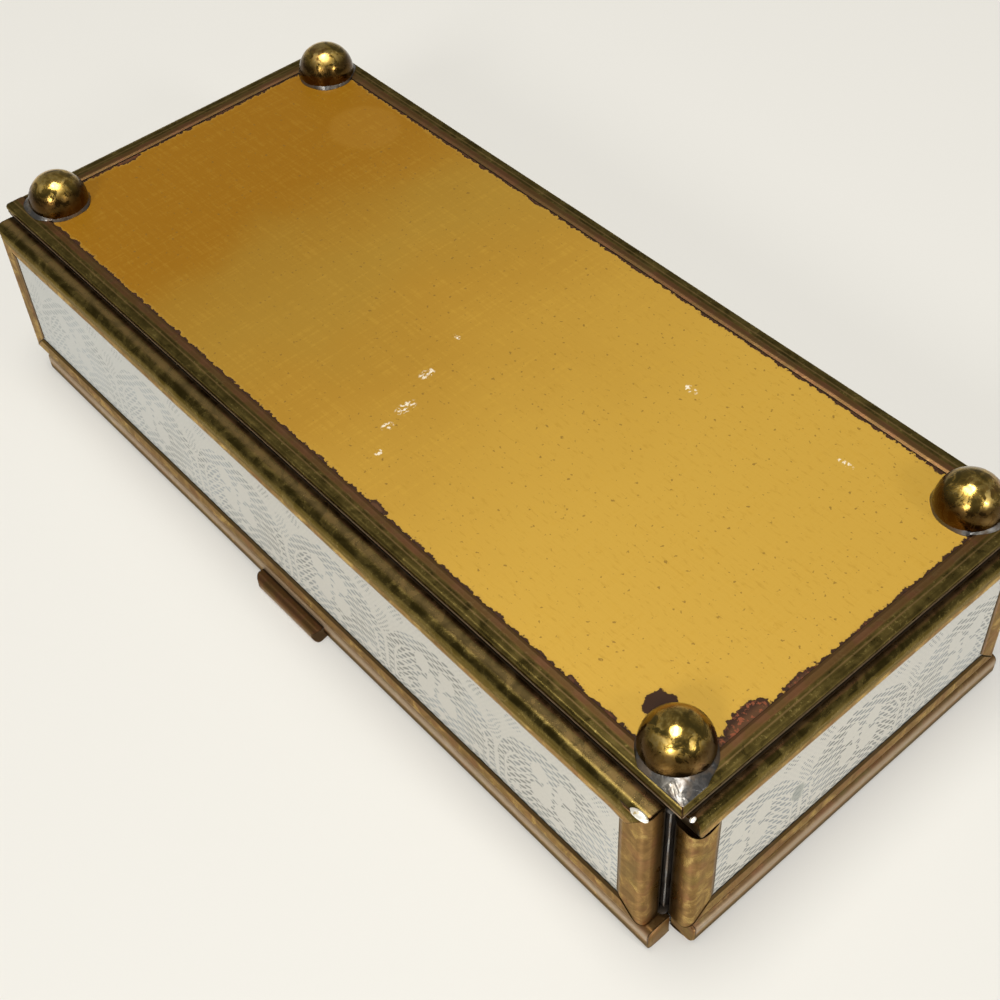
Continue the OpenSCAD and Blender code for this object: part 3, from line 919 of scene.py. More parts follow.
class CASKET_OT_lid_came(bpy.types.Operator):
    """Make the lid's came, whose open rails stop short of the corners"""
    bl_idname = "casket.lid_came"
    bl_label = "Lid came"

    def execute(self, context):
        s = sizes()
        lo, hi = corners_mm("lid_frame")
        depth, notch, lip = hi[2] - lo[2], s["notch"], s["came_lip"]
        t, h, m = came_outline(depth, s, lip, 1.15)
        # The lid's outer side: the pale band towards the walls is a painted highlight, and the olive and dark
        # half towards the table is painted contact shadow over patina.
        outline = t, h, {"lip": np.maximum(0.6 * m["lip"], 1.1 * near(h, 1.35, 0.95) * (t < 0.9)),
                         "back": ramp(h, 2.3, 0.5) * (t < 1.3),
                         "grime": np.maximum(m["grime"], 0.55 * ramp(h, 2.5, 0.4) * (t < 1.2))}
        # The long rails stop square at the notch. An end rail stops there as well, with its inner part
        # stepped back to the long rail's lip. At the front left corner it is 1.5 mm shorter, and its
        # outer edge falls back by another 0.5 mm with the square of the distance from the inner one.
        long = flat_cut(notch)
        butt = lambda t: notch + (lip - notch + 0.05) * (t > notch - 0.15)
        short = lambda t: notch + 1.5 + 0.5 * (1 - t / lip) ** 2
        cuts = [(long, long), (butt, butt), (long, long), (butt, short)]
        x, y, z = (1, 0, 0), (0, 1, 0), (0, 0, 1)
        shells = frame_shells(lo[:2], hi[:2], ((0, 0, lo[2]), x, y, z), outline, cuts, 56.0, s["steps"])
        shells.append(end_cap((lo[0] + notch - 0.02, lo[1], lo[2]), x, y, z, depth, lip))
        shells.append(end_cap((lo[0], lo[1] + notch + 1.62, lo[2]), y, x, z, depth, lip, 0.8))
        mat = brass("lid came", tarnish=0.22, olive=0.6, wear=1.1)
        piece("lid_came", shells, mat, "lid", ["lid_frame"])
        return {"FINISHED"}


class CASKET_OT_tab(bpy.types.Operator):
    """Make the lift tab, a short flat strip with rounded ends"""
    bl_idname = "casket.tab"
    bl_label = "Lift tab"

    def execute(self, context):
        lo, hi = corners_mm("lid_tab")
        edge = corners_mm("lid_frame")[0][1]
        thick, reach = hi[2] - lo[2], edge - lo[1]
        deep = reach + 0.8                    # the strip runs on under the lid's came
        rim = thick - 1.05                    # a painted highlight line runs round its edge here
        end_r, skew = 1.3, 0.5                # radius of its ends, and how far the first end leans
        t, h = dense(fillet([(0, thick), (deep, thick), (deep, 0), (0, 0)], [0.7, 0.3, 0.3, 1.1], 9), 0.3).T
        # The part towards the walls is darker, painted shade, and where the strip goes under the lid's came
        # it is black, a painted shadow at the lid's edge.
        low = h < thick - 0.9
        joint = (t > reach - 0.15) * (h < thick - 0.05)
        m = {"lip": 1.2 * near(h, rim, 0.35) * (t < 0.6), "back": 0.35 * low,
             "grime": np.maximum(0.26 * low, 1.0 * joint)}
        # The cut of an end: a quarter circle from the front edge inwards, then straight back.
        lobe = lambda q: end_r * (1 - np.sqrt(1 - np.clip(1 - q / end_r, 0, 1) ** 2))
        leaning = lambda q: lobe(q) + skew * np.clip(q / deep, 0, 1)
        strip = rail(lo, (hi[0], lo[1], lo[2]), (0, 1, 0), (0, 0, 1), (t, h, m), leaning, lobe,
                     67.0, 300, 0.05)
        mat = brass("tab brass", tarnish=0.30, wear=1.1)
        piece("lid_tab_strip", [strip], mat, "lid", ["lid_tab"])
        return {"FINISHED"}


# ---------------------------------------------------------------- glass and base plate

FAN = 24.0    # width of one fan as it is drawn, before it is fitted to a wall


def lace():
    """Scalloped lace in millimetres: fans under arched cords with a wider net in the arch, a flower with
    four petals and a small eye in each fan, ribs that fall away to both sides, plain cloth with pin
    holes between the fans, and a row of small flowers over a hem of finer net.
    The net is 2 cos(2 pi X / a) cos(pi Z / b) + cos(2 pi Z / b), which peaks on staggered rows."""
    def net(x, z, a, b):
        return (x * (2 * math.pi / a)).cos() * (z * (math.pi / b)).cos() * 2.0 + (z * (2 * math.pi / b)).cos()

    def thread(d, w):
        """A thread of half width w along the line where d is 0."""
        return d.abs().step(w, w * 0.4)

    def arc(x, z, half, tall):
        """Distance from the middle of a fan's foot, counted so that it is 1 on the arch."""
        return ((x / half) * (x / half) + (z / tall) * (z / tall)).root()

    def build(t, i):
        x0, z0, _ = parts(t, i["Flat"])
        warp = noise(t, i["Flat"], 0.30, 1.0)
        warp2 = noise(t, scaled(t, i["Flat"], (1, 1, 1), (37, 11, 5)), 0.30, 1.0)
        x = x0 + (warp - 0.5) * 1.2
        z = z0 + (warp2 - 0.5) * 1.0
        fx = ((x / i["Repeat"] + 0.5).frac() - 0.5) * FAN
        ax = fx.abs()
        bx = (fx - 0.6).abs()
        arch = arc(ax, (z - 4.6).high(0.0), 11.9, 10.4)
        inner = arc(ax, (z - 3.6).high(0.0), 10.1, 7.7)
        # Rows of the net fall away from the flower inside the fan, and run level in the arch.
        fall = (ax - 4.4).high(0.0) * 0.46 * inner.step(1.05, 0.95)
        holes = net(fx, z + fall, FAN / 11, 0.72).step(-0.45, 0.25)
        cord = thread(inner - 1.0, 0.036) * ax.step(3.2, 4.6)
        outer = thread(arch - 1.0, 0.026)
        foot = thread(ax - 11.9, 0.42) * z.step(5.2, 4.0) * z.step(-0.6, 0.2)
        rib = thread(z - 6.1 + (ax - 5.0) * 0.50, 0.30) * ax.step(4.4, 5.2) * inner.step(1.0, 0.97)
        petals = oval(bx, z, 2.60, 9.5, 1.75, 2.05).low(oval(bx, z, 2.30, 4.2, 2.10, 2.10))
        petals = petals.low(oval(bx, z, 0.75, 7.1, 1.05, 1.35))
        eye = oval(bx, z, 0.0, 7.2, 0.45, 0.55).step(1.1, 0.8)
        eye = eye.high(oval(bx, z, 0.0, 3.2, 0.5, 0.9).step(1.1, 0.8))
        frayed = (noise(t, joined(t, x, z), 1.3, 1.0) - 0.5) * 0.45
        flower = (petals + frayed).step(1.12, 0.86) * (1.0 - eye)
        fan = (1.0 - holes).high(cord).high(outer).high(foot).high(rib).high(flower)
        # The plain cloth between the arches, with pin holes that gather in sprays.
        cloth = arch.step(0.975, 1.0) * z.step(3.0, 4.0)
        pins = net(x, z, 0.80, 0.56).step(0.6, 1.4)
        side_spray = ax.step(10.4, 10.9) * oval(ax, z, 12.0, 10.8, 9.0, 2.6).step(1.1, 0.8)
        spray = side_spray.high(oval(ax, z, 8.3, 15.4, 1.7, 1.3).step(1.1, 0.8))
        white = fan * (1.0 - cloth) + (1.0 - pins * (spray * 0.95 + 0.12)) * cloth
        # Three small flowers to a fan, over the hem and its scalloped edge.
        f3 = ((x / i["Repeat"] * 3.0 + 0.5).frac() - 0.5) * (FAN / 3)
        bud = oval(f3.abs(), z, 0.45, 0.25, 0.72, 0.78).step(1.2, 0.75)
        hem = z.step(-0.75, -1.05)
        hemnet = 1.0 - net(x, z, 1.80, 0.66).step(-0.5, 0.2)
        edge = thread(z + 2.9 + (f3 * 0.8).cos() * 0.2, 0.30)
        white = (white * (1.0 - hem) + hemnet * hem).high(bud).high(edge)
        soft = noise(t, joined(t, x, z), 2.6, 2.0)
        return ((white * 0.96 + (soft - 0.5) * 0.36).high(0.0).low(1.0),)

    return group("lace print", [("Flat", "Vector", None), ("Repeat", "Float", FAN)],
                 [("Thread", "Float")], build)


def lace_glass(wall, run, shift, repeat, foot, pale=1.0, stain=None):
    """Printed lace under gloss. The wall's run and height in millimetres come from Object coordinates,
    with a fan's middle at shift and its foot at the height foot, and repeat is its width. The margin
    that lies in the groove of the came is darkened. A stain is a place along, a height and a size."""
    c = colours()
    lo, hi = (v.tolist() for v in corners_mm(wall + "_glass"))
    threads = tuple(v * pale for v in c["lace_white"][:3]) + (1,)

    def build(t):
        xyz = parts(t, in_mm(t, place(t)))
        along, height = xyz[run], xyz[2]
        flat = joined(t, along - shift, foot - height)
        thread = use(t, lace(), Flat=flat, Repeat=repeat)["Thread"]
        ground = mix(t, c["lace_hole"], c["ground_grey"], noise(t, flat, 0.07, 2.0).step(0.35, 0.65))
        # Painted shade of the came: the ground darkens towards the came on the lid side.
        ground = mix(t, ground, c["ground_shaded"], (foot - height).step(1.0, -2.0) * 0.6)
        col = mix(t, ground, threads, thread)
        far = (along + (noise(t, flat, 0.05, 1.0) - 0.5) * 30.0).step(-15.0, 70.0)
        col = mix(t, col, c["haze"], far * 0.5)
        if stain:
            at, up, size = stain
            ragged = (noise(t, flat, 0.8, 3.0) - 0.5) * 2.2
            spot = (oval(along, height, at, up, size, size * 1.6) + ragged).step(1.1, 0.4)
            col = mix(t, col, c["stain"], spot * 0.75)
        edge = margin(along, height, (lo[run], lo[2]), (hi[run], hi[2]))
        col = mix(t, col, c["soot"], edge.step(3.1, 2.9))
        return {"Base Color": col, "Roughness": 0.42 - thread * 0.04,
                "Height": (thread, 0.12, 0.00004)}
    return material(wall + " lace", build, Coat_Weight=0.35, Coat_Roughness=0.08, IOR=1.5)


class CASKET_OT_wall_panes(bpy.types.Operator):
    """Give the wall panes their lace print"""
    bl_idname = "casket.wall_panes"
    bl_label = "Wall panes"

    def execute(self, context):
        s = sizes()
        long, end = s["lace_repeat"], s["lace_repeat_end"]
        foot = 28.9                           # height of the fans' feet over the floor
        # For each wall: middle of a fan along it, width of a fan, paleness of the threads, and a stain.
        looks = {
            "front": (-61.7, long, 0.83, None),
            "back": (-55.0, long, 0.83, None),
            "left": (-1.6, end, 1.0, (-13.2, 23.0, 1.5)),
            "right": (3.0, end, 1.0, None),
        }
        for name, (shift, repeat, pale, stain) in looks.items():
            dress(name + "_glass", lace_glass(name, WALLS[name][0], shift, repeat, foot, pale, stain))
        return {"FINISHED"}


def clear_glass():
    """Clear float glass with faint smears."""
    c = colours()

    def build(t):
        smear = noise(t, scaled(t, in_mm(t, place(t)), (0.05, 0.4, 1)), 1.0, 4.0)
        return {"Base Color": mix(t, c["glass"], c["glass_smear"], smear.step(0.4, 0.7)),
                "Roughness": 0.02 + smear.step(0.5, 0.75) * 0.05}
    return material("clear glass", build, Transmission_Weight=1.0, IOR=1.5, Metallic=0.0)


def mirror_face():
    """Silvered glass, a little green, with brown creep at its edges."""
    c = colours()
    lo, hi = (v.tolist() for v in corners_mm("base_mirror"))

    def build(t):
        x, y, _ = parts(t, in_mm(t, place(t)))
        mm = joined(t, x, y)
        creep = (margin(x, y, lo, hi) - noise(t, mm, 0.5, 4.0) * 6.0).step(1.2, 0.0)
        return {"Base Color": mix(t, c["silver"], c["silver_creep"], creep * 0.8),
                "Roughness": 0.03 + creep * 0.3 + noise(t, mm, 0.2, 3.0).step(0.55, 0.8) * 0.03,
                "Metallic": 1.0 - creep * 0.4}
    return material("mirror", build)


# Corrosion patches on the gold backing, from the middle of the base: x, y and half sizes in
# millimetres, and how much of the patch red crumbs fill, 0 to 1.
CORROSION = [
    (-67.3, -25.3, 2.3, 2.4, 0.0), (-76.3, -18.8, 2.4, 4.2, 1.0), (-76.8, -9.4, 1.2, 4.6, 0.7),
    (-76.8, 3.1, 0.9, 5.5, 0.5), (-76.3, -24.9, 1.5, 2.4, 0.9), (-17.2, -31.2, 2.6, 1.4, 0.0),
    (-3.4, -31.3, 5.0, 1.0, 0.0), (8.6, -31.3, 2.2, 0.8, 0.0), (-57.0, -31.2, 1.4, 1.2, 0.2),
    (-49.4, -31.4, 3.6, 0.8, 0.2), (-63.9, -31.2, 2.0, 0.9, 0.3), (77.0, -12.4, 1.6, 4.0, 0.4),
    (77.0, -18.9, 1.3, 2.0, 0.4), (76.6, 8.6, 0.8, 3.0, 0.2), (31.1, 31.0, 1.0, 0.7, 0.0),
    (-65.4, 31.2, 3.0, 1.0, 0.7), (-1.4, 31.3, 0.9, 0.6, 0.0),
]
# White scuffs in the paint: middle and half sizes.
SCUFFS = [(-1.5, -8.6, 0.9, 1.5), (-4.8, -15.4, 1.0, 2.0), (-6.0, -19.8, 0.8, 1.1), (-31.0, 17.5, 1.4, 0.7),
          (-56.4, 22.5, 1.6, 0.5), (1.6, 0.0, 0.9, 0.4), (-9.2, -24.0, 0.6, 0.7)]
# The faint round stain in the paint: middle and half sizes.
STAIN = (54.6, 23.5, 7.0, 6.5)


def gold_paint():
    """Satin gold paint: brushed both ways like a canvas, bright yellow at one end with a painted reflection
    and amber at the other, dark specks, white scuffs and lobed corrosion that grows in from the came.
    Places are taken from the middle of the base frame."""
    c = colours()
    lo, hi = corners_mm("base_frame")
    mid = ((lo + hi) / 2).tolist()
    half = ((hi - lo)[:2] / 2 - sizes()["base_lip"]).tolist()

    def build(t):
        px, py, _ = parts(t, in_mm(t, place(t)))
        x, y = px - mid[0], py - mid[1]
        mm = joined(t, x, y)
        weft = noise(t, scaled(t, mm, (0.10, 1.7, 1)), 1.0, 2.0)
        warp = noise(t, scaled(t, mm, (1.7, 0.10, 1), (9, 4, 0)), 1.0, 2.0)
        cloud = noise(t, mm, 0.035, 2.0)
        # Painted reflection: the paint is bright yellow towards -X and turns amber towards +X.
        amber = (x * 0.0093 - y * 0.0014 + cloud * 0.25 + 0.34).step(0.0, 1.0)
        col = mix(t, c["gold"], c["gold_deep"], amber)
        olive = (cloud * 0.8 + 0.5 - (x - 26.0).abs() * 0.02).step(0.45, 0.9)
        col = mix(t, col, c["gold_olive"], olive * 0.30)
        weave = (weft * 0.5 + warp * 0.5).step(0.50, 0.66)
        col = mix(t, col, c["gold_weave"], weave * (1.0 - amber * 0.75) * 0.55)
        col = mix(t, col, c["gold_ring"], oval(x, y, *STAIN).step(1.1, 0.7) * 0.35)

        # Corrosion: depth inside each patch in millimetres, made ragged, and red crumbs in some.
        lobes = node(t, "ShaderNodeTexVoronoi", props={"feature": "SMOOTH_F1"}, Vector=mm, Scale=1.05)
        ragged = (lobes - 0.42) * 1.0 + (noise(t, mm, 1.9, 3.0) - 0.5) * 1.2
        patches = [((1.0 - oval(x, y, cx, cy, rx, ry).root()) * min(rx, ry), red)
                   for cx, cy, rx, ry, red in CORROSION]
        eaten = reduce(Wire.high, [depth for depth, _ in patches])
        heart = reduce(Wire.high, [depth.step(0.0, 0.7) * red for depth, red in patches if red])
        edge = margin(x, y, [-v for v in half], half)
        eaten = (eaten + ragged * 0.8).high(0.40 - edge + ragged * 0.85)
        rust = eaten.step(0.10, 0.24)
        crumbs = noise(t, mm, 1.25, 3.0, 0.65).step(0.52, 0.60) * heart
        tone = mix(t, c["rust"], c["rust_brown"], eaten.step(0.35, 0.9) * edge.step(1.5, 0.5) * 0.8)
        tone = mix(t, tone, c["rust_core"], crumbs)

        col = mix(t, col, c["gold_halo"], eaten.step(-0.30, 0.15) * 0.4)
        col = mix(t, col, c["gold_speck"], noise(t, mm, 1.25, 2.0, 0.5).step(0.66, 0.72) * 0.7)
        flecks = noise(t, scaled(t, mm, (0.5, 1.6, 1)), 1.0, 3.0, 0.6)
        col = mix(t, col, c["gold_fleck"], flecks.step(0.55, 0.72) * 0.35)
        col = mix(t, col, tone, rust)
        scuff = reduce(Wire.high, [oval(x, y, *spot).step(1.2, 0.5) for spot in SCUFFS])
        scuff = scuff * noise(t, scaled(t, mm, (1.6, 1.1, 1), (1.3, 0, 0)), 1.0, 3.0, 0.7).step(0.50, 0.58)
        col = mix(t, col, c["scuff"], scuff * 0.8)
        rough = 0.38 + rust * 0.25 + (weft + warp) * 0.05
        metal = (0.25 - rust * 0.25 - scuff * 0.25).high(0.0)
        return {"Base Color": col, "Roughness": rough, "Metallic": metal,
                "Height": ((weft + warp) * 0.5 + rust * 0.9 + scuff * 0.4, 0.22, 0.00012)}
    return material("gold paint", build, Specular_IOR_Level=0.25)


class CASKET_OT_base_plate(bpy.types.Operator):
    """Finish the mirror and its gold painted back"""
    bl_idname = "casket.base_plate"
    bl_label = "Mirror and gold back"

    def execute(self, context):
        dress("base_mirror", mirror_face())
        dress("base_backing", gold_paint())
        return {"FINISHED"}


class CASKET_OT_lid_pane(bpy.types.Operator):
    """Finish the clear pane of the lid"""
    bl_idname = "casket.lid_pane"
    bl_label = "Lid pane"

    def execute(self, context):
        dress("lid_glass", clear_glass())
        return {"FINISHED"}


# ---------------------------------------------------------------- feet and solder

CORNERS = ("front_left", "front_right", "back_left", "back_right")


def way_out(corner):
    """Which way the corner lies along X and along Y: -1 or 1."""
    return (-1 if "left" in corner else 1), (-1 if "front" in corner else 1)


def foot_centre(name):
    """Middle of a ball foot in plan, the height of its flat top, and its radius."""
    lo, hi = corners_mm("foot_" + name)
    return (lo + hi) / 2, hi[2], (hi[0] - lo[0]) / 2


class CASKET_OT_feet(bpy.types.Operator):
    """Turn the four ball feet"""
    bl_idname = "casket.feet"
    bl_label = "Ball feet"

    def execute(self, context):
        for k, name in enumerate(CORNERS):
            c, top, r = foot_centre(name)
            # Half section: at the angle a from the lowest point, the reach is r sin a and the height
            # r less r cos a, up to the flat top that closes it. A slow wave round it times one up it
            # presses in up to 0.8% of the reach.
            a = np.linspace(0, math.acos((r - top) / r), 44)
            radius = np.concatenate([r * np.sin(a), [0.55 * r, 0.0]])
            height = np.concatenate([r - r * np.cos(a), [top, top]])
            dent = lambda ang, i: 1 - 0.004 * (1 + np.sin(2 * ang + k) * np.sin(i / 9.0 + k * 2.1))
            ball = revolve((c[0], c[1], 0), radius, height, 96, ripple=dent)
            piece("ball_" + name, [ball], ball_brass(), "case", ["foot_" + name], smooth=60)
        return {"FINISHED"}


# How far the solder of each foot flows towards the corner of the base, in millimetres.
FLOW = {"front_left": 3.9, "front_right": 0.5, "back_left": 0.6, "back_right": 0.7}


def collar_surface(name, k):
    """Solder round a foot, in polar form about its centre: the skirt's reach R(angle) grows towards the
    corner of the base, and its height falls from the collar's top to nothing at R with a lumpy slope.
    Its back follows it, a hair above the came or, inside the came's lip, on the backing."""
    c, _, r = foot_centre(name)
    flo, fhi = corners_mm("base_frame")
    face = flo[2]
    low = corners_mm("foot_solder_" + name)[0][2]
    rim, lip, step = 0.55, 3.6, 0.33          # bare rim of the came, the came's lip, and its height
    sx, sy = way_out(name)
    a = np.linspace(0, 2 * math.pi, 144, endpoint=False)
    ca, sa = np.cos(a) * sx, np.sin(a) * sy
    edge_x = (fhi[0] - c[0]) if sx > 0 else (c[0] - flo[0])
    edge_y = (fhi[1] - c[1]) if sy > 0 else (c[1] - flo[1])
    limit = np.minimum(np.where(ca > 0.05, (edge_x - rim) / np.maximum(ca, 0.05), 99),
                       np.where(sa > 0.05, (edge_y - rim) / np.maximum(sa, 0.05), 99))
    corner = np.clip((ca + sa) / 1.414, 0, 1)
    reach = r * 1.035 + 0.10 * np.sin(3 * a + k) + 0.06 * np.sin(7 * a + 2 * k)
    reach = reach + FLOW[name] * corner ** 7 + 0.55 * corner
    reach = np.clip(reach, r * 1.012, limit)
    q = np.linspace(0, 1, 16)[:, None]
    rad = r * 0.90 * (1 - q) + reach[None] * q
    out = np.clip((rad - r * 0.985) / np.maximum(reach[None] - r * 0.985, 0.15), 0, 1)
    tall = (face - low) * (0.32 + 0.58 * corner[None] ** 0.8)
    lump = 1 + 0.14 * np.sin(4 * a[None] + 2 * k + rad * 1.1) + 0.08 * np.sin(9 * a[None] - rad * 2.2)
    x, y = c[0] + rad * np.cos(a)[None], c[1] + rad * np.sin(a)[None]
    inside = (x > flo[0] + lip) & (x < fhi[0] - lip) & (y > flo[1] + lip) & (y < fhi[1] - lip)
    z = face - np.clip(tall * (1 - out) ** 0.9 * lump, 0.02, face - low) + np.where(inside, step, 0.0) * out
    back = np.maximum(np.where(inside, face + step + 0.01, face + 0.02), z + 0.01)
    p = np.concatenate([np.stack([x, y, z], -1), np.stack([x, y, back], -1)[::-1]])
    u = np.concatenate([rad, rad[::-1] + 3]) / UV_UNIT
    return shell(p, u, a[None] * r / UV_UNIT, loop=True)


class CASKET_OT_foot_solder(bpy.types.Operator):
    """Run the solder round the feet"""
    bl_idname = "casket.foot_solder"
    bl_label = "Foot solder"

    def execute(self, context):
        mat = solder("foot solder", 0.42, 1.2)
        for k, name in enumerate(CORNERS):
            collar = collar_surface(name, k)
            piece("collar_" + name, [collar], mat, "case", ["foot_solder_" + name], smooth=70)
        return {"FINISHED"}


def bead(x, y, z0, z1, radius, seed, bulge=0.12):
    """Upright solder bead: radius times one plus wavering lumps, closed by rounded ends."""
    q = np.linspace(0, math.pi, 60)[:, None]
    z = z0 + (z1 - z0) * (0.5 - 0.5 * np.cos(q))
    a = np.linspace(0, 2 * math.pi, 28, endpoint=False)[None]
    end = np.clip(np.minimum(z - z0, z1 - z) / radius, 0, 1)
    lumps = 1 + bulge * (waver(z, seed, 17.0) - 0.6) + 0.05 * np.sin(3 * a + z)
    r = radius * np.sqrt(1 - (1 - end) ** 2) * lumps
    return shell(turned(np.maximum(r, 0.02), z, a, "z", (x, y, 0)), z / UV_UNIT + 0 * a, a * radius / UV_UNIT)


def drop(centre, half, seed, n=22):
    """Solder drop: an ellipsoid whose radius carries low lumps, from two angles."""
    u = np.linspace(0.04, math.pi - 0.04, n)[:, None]
    a = np.linspace(0, 2 * math.pi, 2 * n, endpoint=False)[None]
    f = 1 + 0.10 * np.sin(2 * a + seed) * np.sin(u) + 0.08 * np.sin(3 * u + a + seed * 2)
    d = np.stack([np.sin(u) * np.cos(a), np.sin(u) * np.sin(a), np.cos(u) + 0 * a], -1) * f[..., None]
    return shell(np.array(centre) + d * np.array(half), u + 0 * a, a / 6.0)


def dirtied(s, grime):
    """The shell with the same dirt all over."""
    s["m"]["grime"] = np.full(len(s["p"]), grime)
    return s


class CASKET_OT_seams(bpy.types.Operator):
    """Run the solder seams in the corners of the walls"""
    bl_idname = "casket.seams"
    bl_label = "Corner seams"

    def execute(self, context):
        r = sizes()["bead"]
        mat = solder("seam solder", 0.36, 0.5)
        for k, name in enumerate(CORNERS):
            sx, sy = way_out(name)
            long_lo, long_hi = corners_mm(("front" if sy < 0 else "back") + "_frame")
            end_lo, end_hi = corners_mm(("left" if sx < 0 else "right") + "_frame")
            x = (long_lo[0] if sx < 0 else long_hi[0]) - sx * 0.05
            y = (end_lo[1] if sy < 0 else end_hi[1]) - sy * 0.05
            foot, head = long_lo[2] + 0.9, long_hi[2]
            thread = bead(x, y, foot, head - 1.0, r, 3.0 + k * 2)
            core = bead(x - sx * 0.62, y - sy * 0.62, foot, head - 0.05, 0.85, 4.0 + k * 2, 0.0)
            low = drop((x + sx * 0.35, y + sy * 0.35, foot), (0.7, 0.7, 0.5), k + 4)
            high = drop((x, y, head - 0.62), (0.95, 0.95, 0.5), k + 5)
            shells = [thread, dirtied(core, 1.0), dirtied(low, 0.7), dirtied(high, 0.7)]
            piece("solder_seam_" + name, shells, mat, "case", ["seam_" + name], smooth=70)
        x, y, z = corners_mm("front_frame")[0]
        # Drops that carry painted glints: one on the lapped end of the front rail, a small one on the end of
        # the left wall's rail.
        shells = [drop((x + 1.55, y + 0.62, z + 0.60), (1.35, 0.62, 0.62), 2.0),
                  drop((x - 3.3, y + 4.75, z + 0.28), (0.42, 0.5, 0.3), 5.0)]
        piece("bright_drops", shells, bright_drop(), "case", smooth=70)
        return {"FINISHED"}


# ---------------------------------------------------------------- hinges

def tube_profile(lo, hi, outer, inner, edge=0.18):
    """Closed section of a tube's wall, as radii and places along, with its four edges rounded."""
    o = fillet([(lo, inner), (hi, inner), (hi, outer), (lo, outer)], [edge * 0.5, edge * 0.5, edge, edge], 5)
    return o[:, 1], o[:, 0]


class CASKET_OT_hinges(bpy.types.Operator):
    """Make the tube and pin hinges at the back of the lid"""
    bl_idname = "casket.hinges"
    bl_label = "Hinges"

    def execute(self, context):
        pin = sizes()["pin"]
        bore, gap, dome = pin + 0.05, 0.35, 0.35
        mat = brass("hinge brass", tarnish=0.02, masks=False)
        quarter = np.linspace(0, math.pi / 2, 7)
        for side in ("left", "right"):
            hinge = f"hinge_{side}_"
            clo, chi = corners_mm(hinge + "case")
            llo, lhi = corners_mm(hinge + "lid")
            plo, phi = corners_mm(hinge + "pin")
            centre = (0, (llo[1] + lhi[1]) / 2, (llo[2] + lhi[2]) / 2)
            outer = (lhi[1] - llo[1]) / 2
            tube = lambda a, b: ring(centre, *tube_profile(a, b, outer, bore))
            case = [tube(clo[0], llo[0] - gap), tube(lhi[0] + gap, chi[0])]
            piece(f"hinge_tubes_case_{side}", case, mat, "case", [hinge + "case"])
            piece(f"hinge_tube_lid_{side}", [tube(llo[0], lhi[0])], mat, "lid", [hinge + "lid"])
            # The rod's half section: a straight side, with a quarter ellipse, as long as dome and as
            # wide as the pin's radius, at each end.
            sin, cos = np.sin(quarter), np.cos(quarter)
            radius = np.concatenate([[0.0], pin * sin[1:], pin * cos[:-1], [0.0]])
            first, last = plo[0] + dome * (1 - cos[1:]), phi[0] - dome * (1 - sin[:-1])
            along = np.concatenate([[plo[0]], first, last, [phi[0]]])
            rod = revolve(centre, radius, along, 40, axis="x")
            piece(f"hinge_rod_{side}", [rod], mat, "case", [hinge + "pin"])
        return {"FINISHED"}


class CASKET_OT_hinge_solder(bpy.types.Operator):
    """Finish the solder that holds the hinge tubes"""
    bl_idname = "casket.hinge_solder"
    bl_label = "Hinge solder"

    def execute(self, context):
        dress("hinge_case_solder", solder())
        dress("hinge_lid_solder", solder())
        return {"FINISHED"}


# ---------------------------------------------------------------- stage

# Camera in metres from the middle of the base frame's lower face: place, aim point, roll in degrees
# about the line of sight from -Z up, and focal length and sensor in millimetres.
EYE = (-0.14121, -0.10817, -0.16335)
AIM = (-0.02830, -0.01753, 0.0)
ROLL = 3.464
LENS = 56.573
SENSOR = 36.0

# Lamps: name, place in metres over the box and again as far under it, watts, width and colour.
LAMPS = (
    ("sky light", (0.03, -0.07, 0.95), 7.9, 0.50, (1.0, 0.97, 0.90)),
    ("window", (-0.45, -0.95, 0.62), 6.0, 0.30, (1, 0.99, 0.96)),
    ("side light", (-1.05, 0.10, 0.60), 3.0, 0.22, (1, 0.98, 0.95)),
)
AIR = (0.98, 0.97, 0.95, 1)    # the room's own light


def aim(ob, eye, target, up=(0, 0, 1), roll=0.0):
    """Places an object at eye, looking along -Z at target, turned by roll degrees."""
    eye, target, up = Vector(eye), Vector(target), Vector(up)
    ahead = (target - eye).normalized()
    right = ahead.cross(up).normalized()
    a = math.radians(roll)
    top = right.cross(ahead) * math.cos(a) + right * math.sin(a)
    axes = Matrix((ahead.cross(top), top, -ahead)).transposed().to_4x4()
    ob.matrix_world = Matrix.Translation(eye) @ axes


def lamp(name, eye, watts, size, tint):
    """A round lamp that looks at the box."""
    data = bpy.data.lights.new(name, "AREA")
    data.energy, data.shape, data.size, data.color = watts, "DISK", size, tint
    aim(added(name, data), eye, (0, 0, 0.02), up=(0.1, 1, 0.05))


def seen_plainly(t):
    """1 for rays from the camera, off metal or through glass."""
    path = t.nodes.new("ShaderNodeLightPath")
    kinds = ("Is Camera Ray", "Is Glossy Ray", "Is Transmission Ray")
    a, b, c = (Wire(t, path.outputs[k]) for k in kinds)
    return a.high(b).high(c)


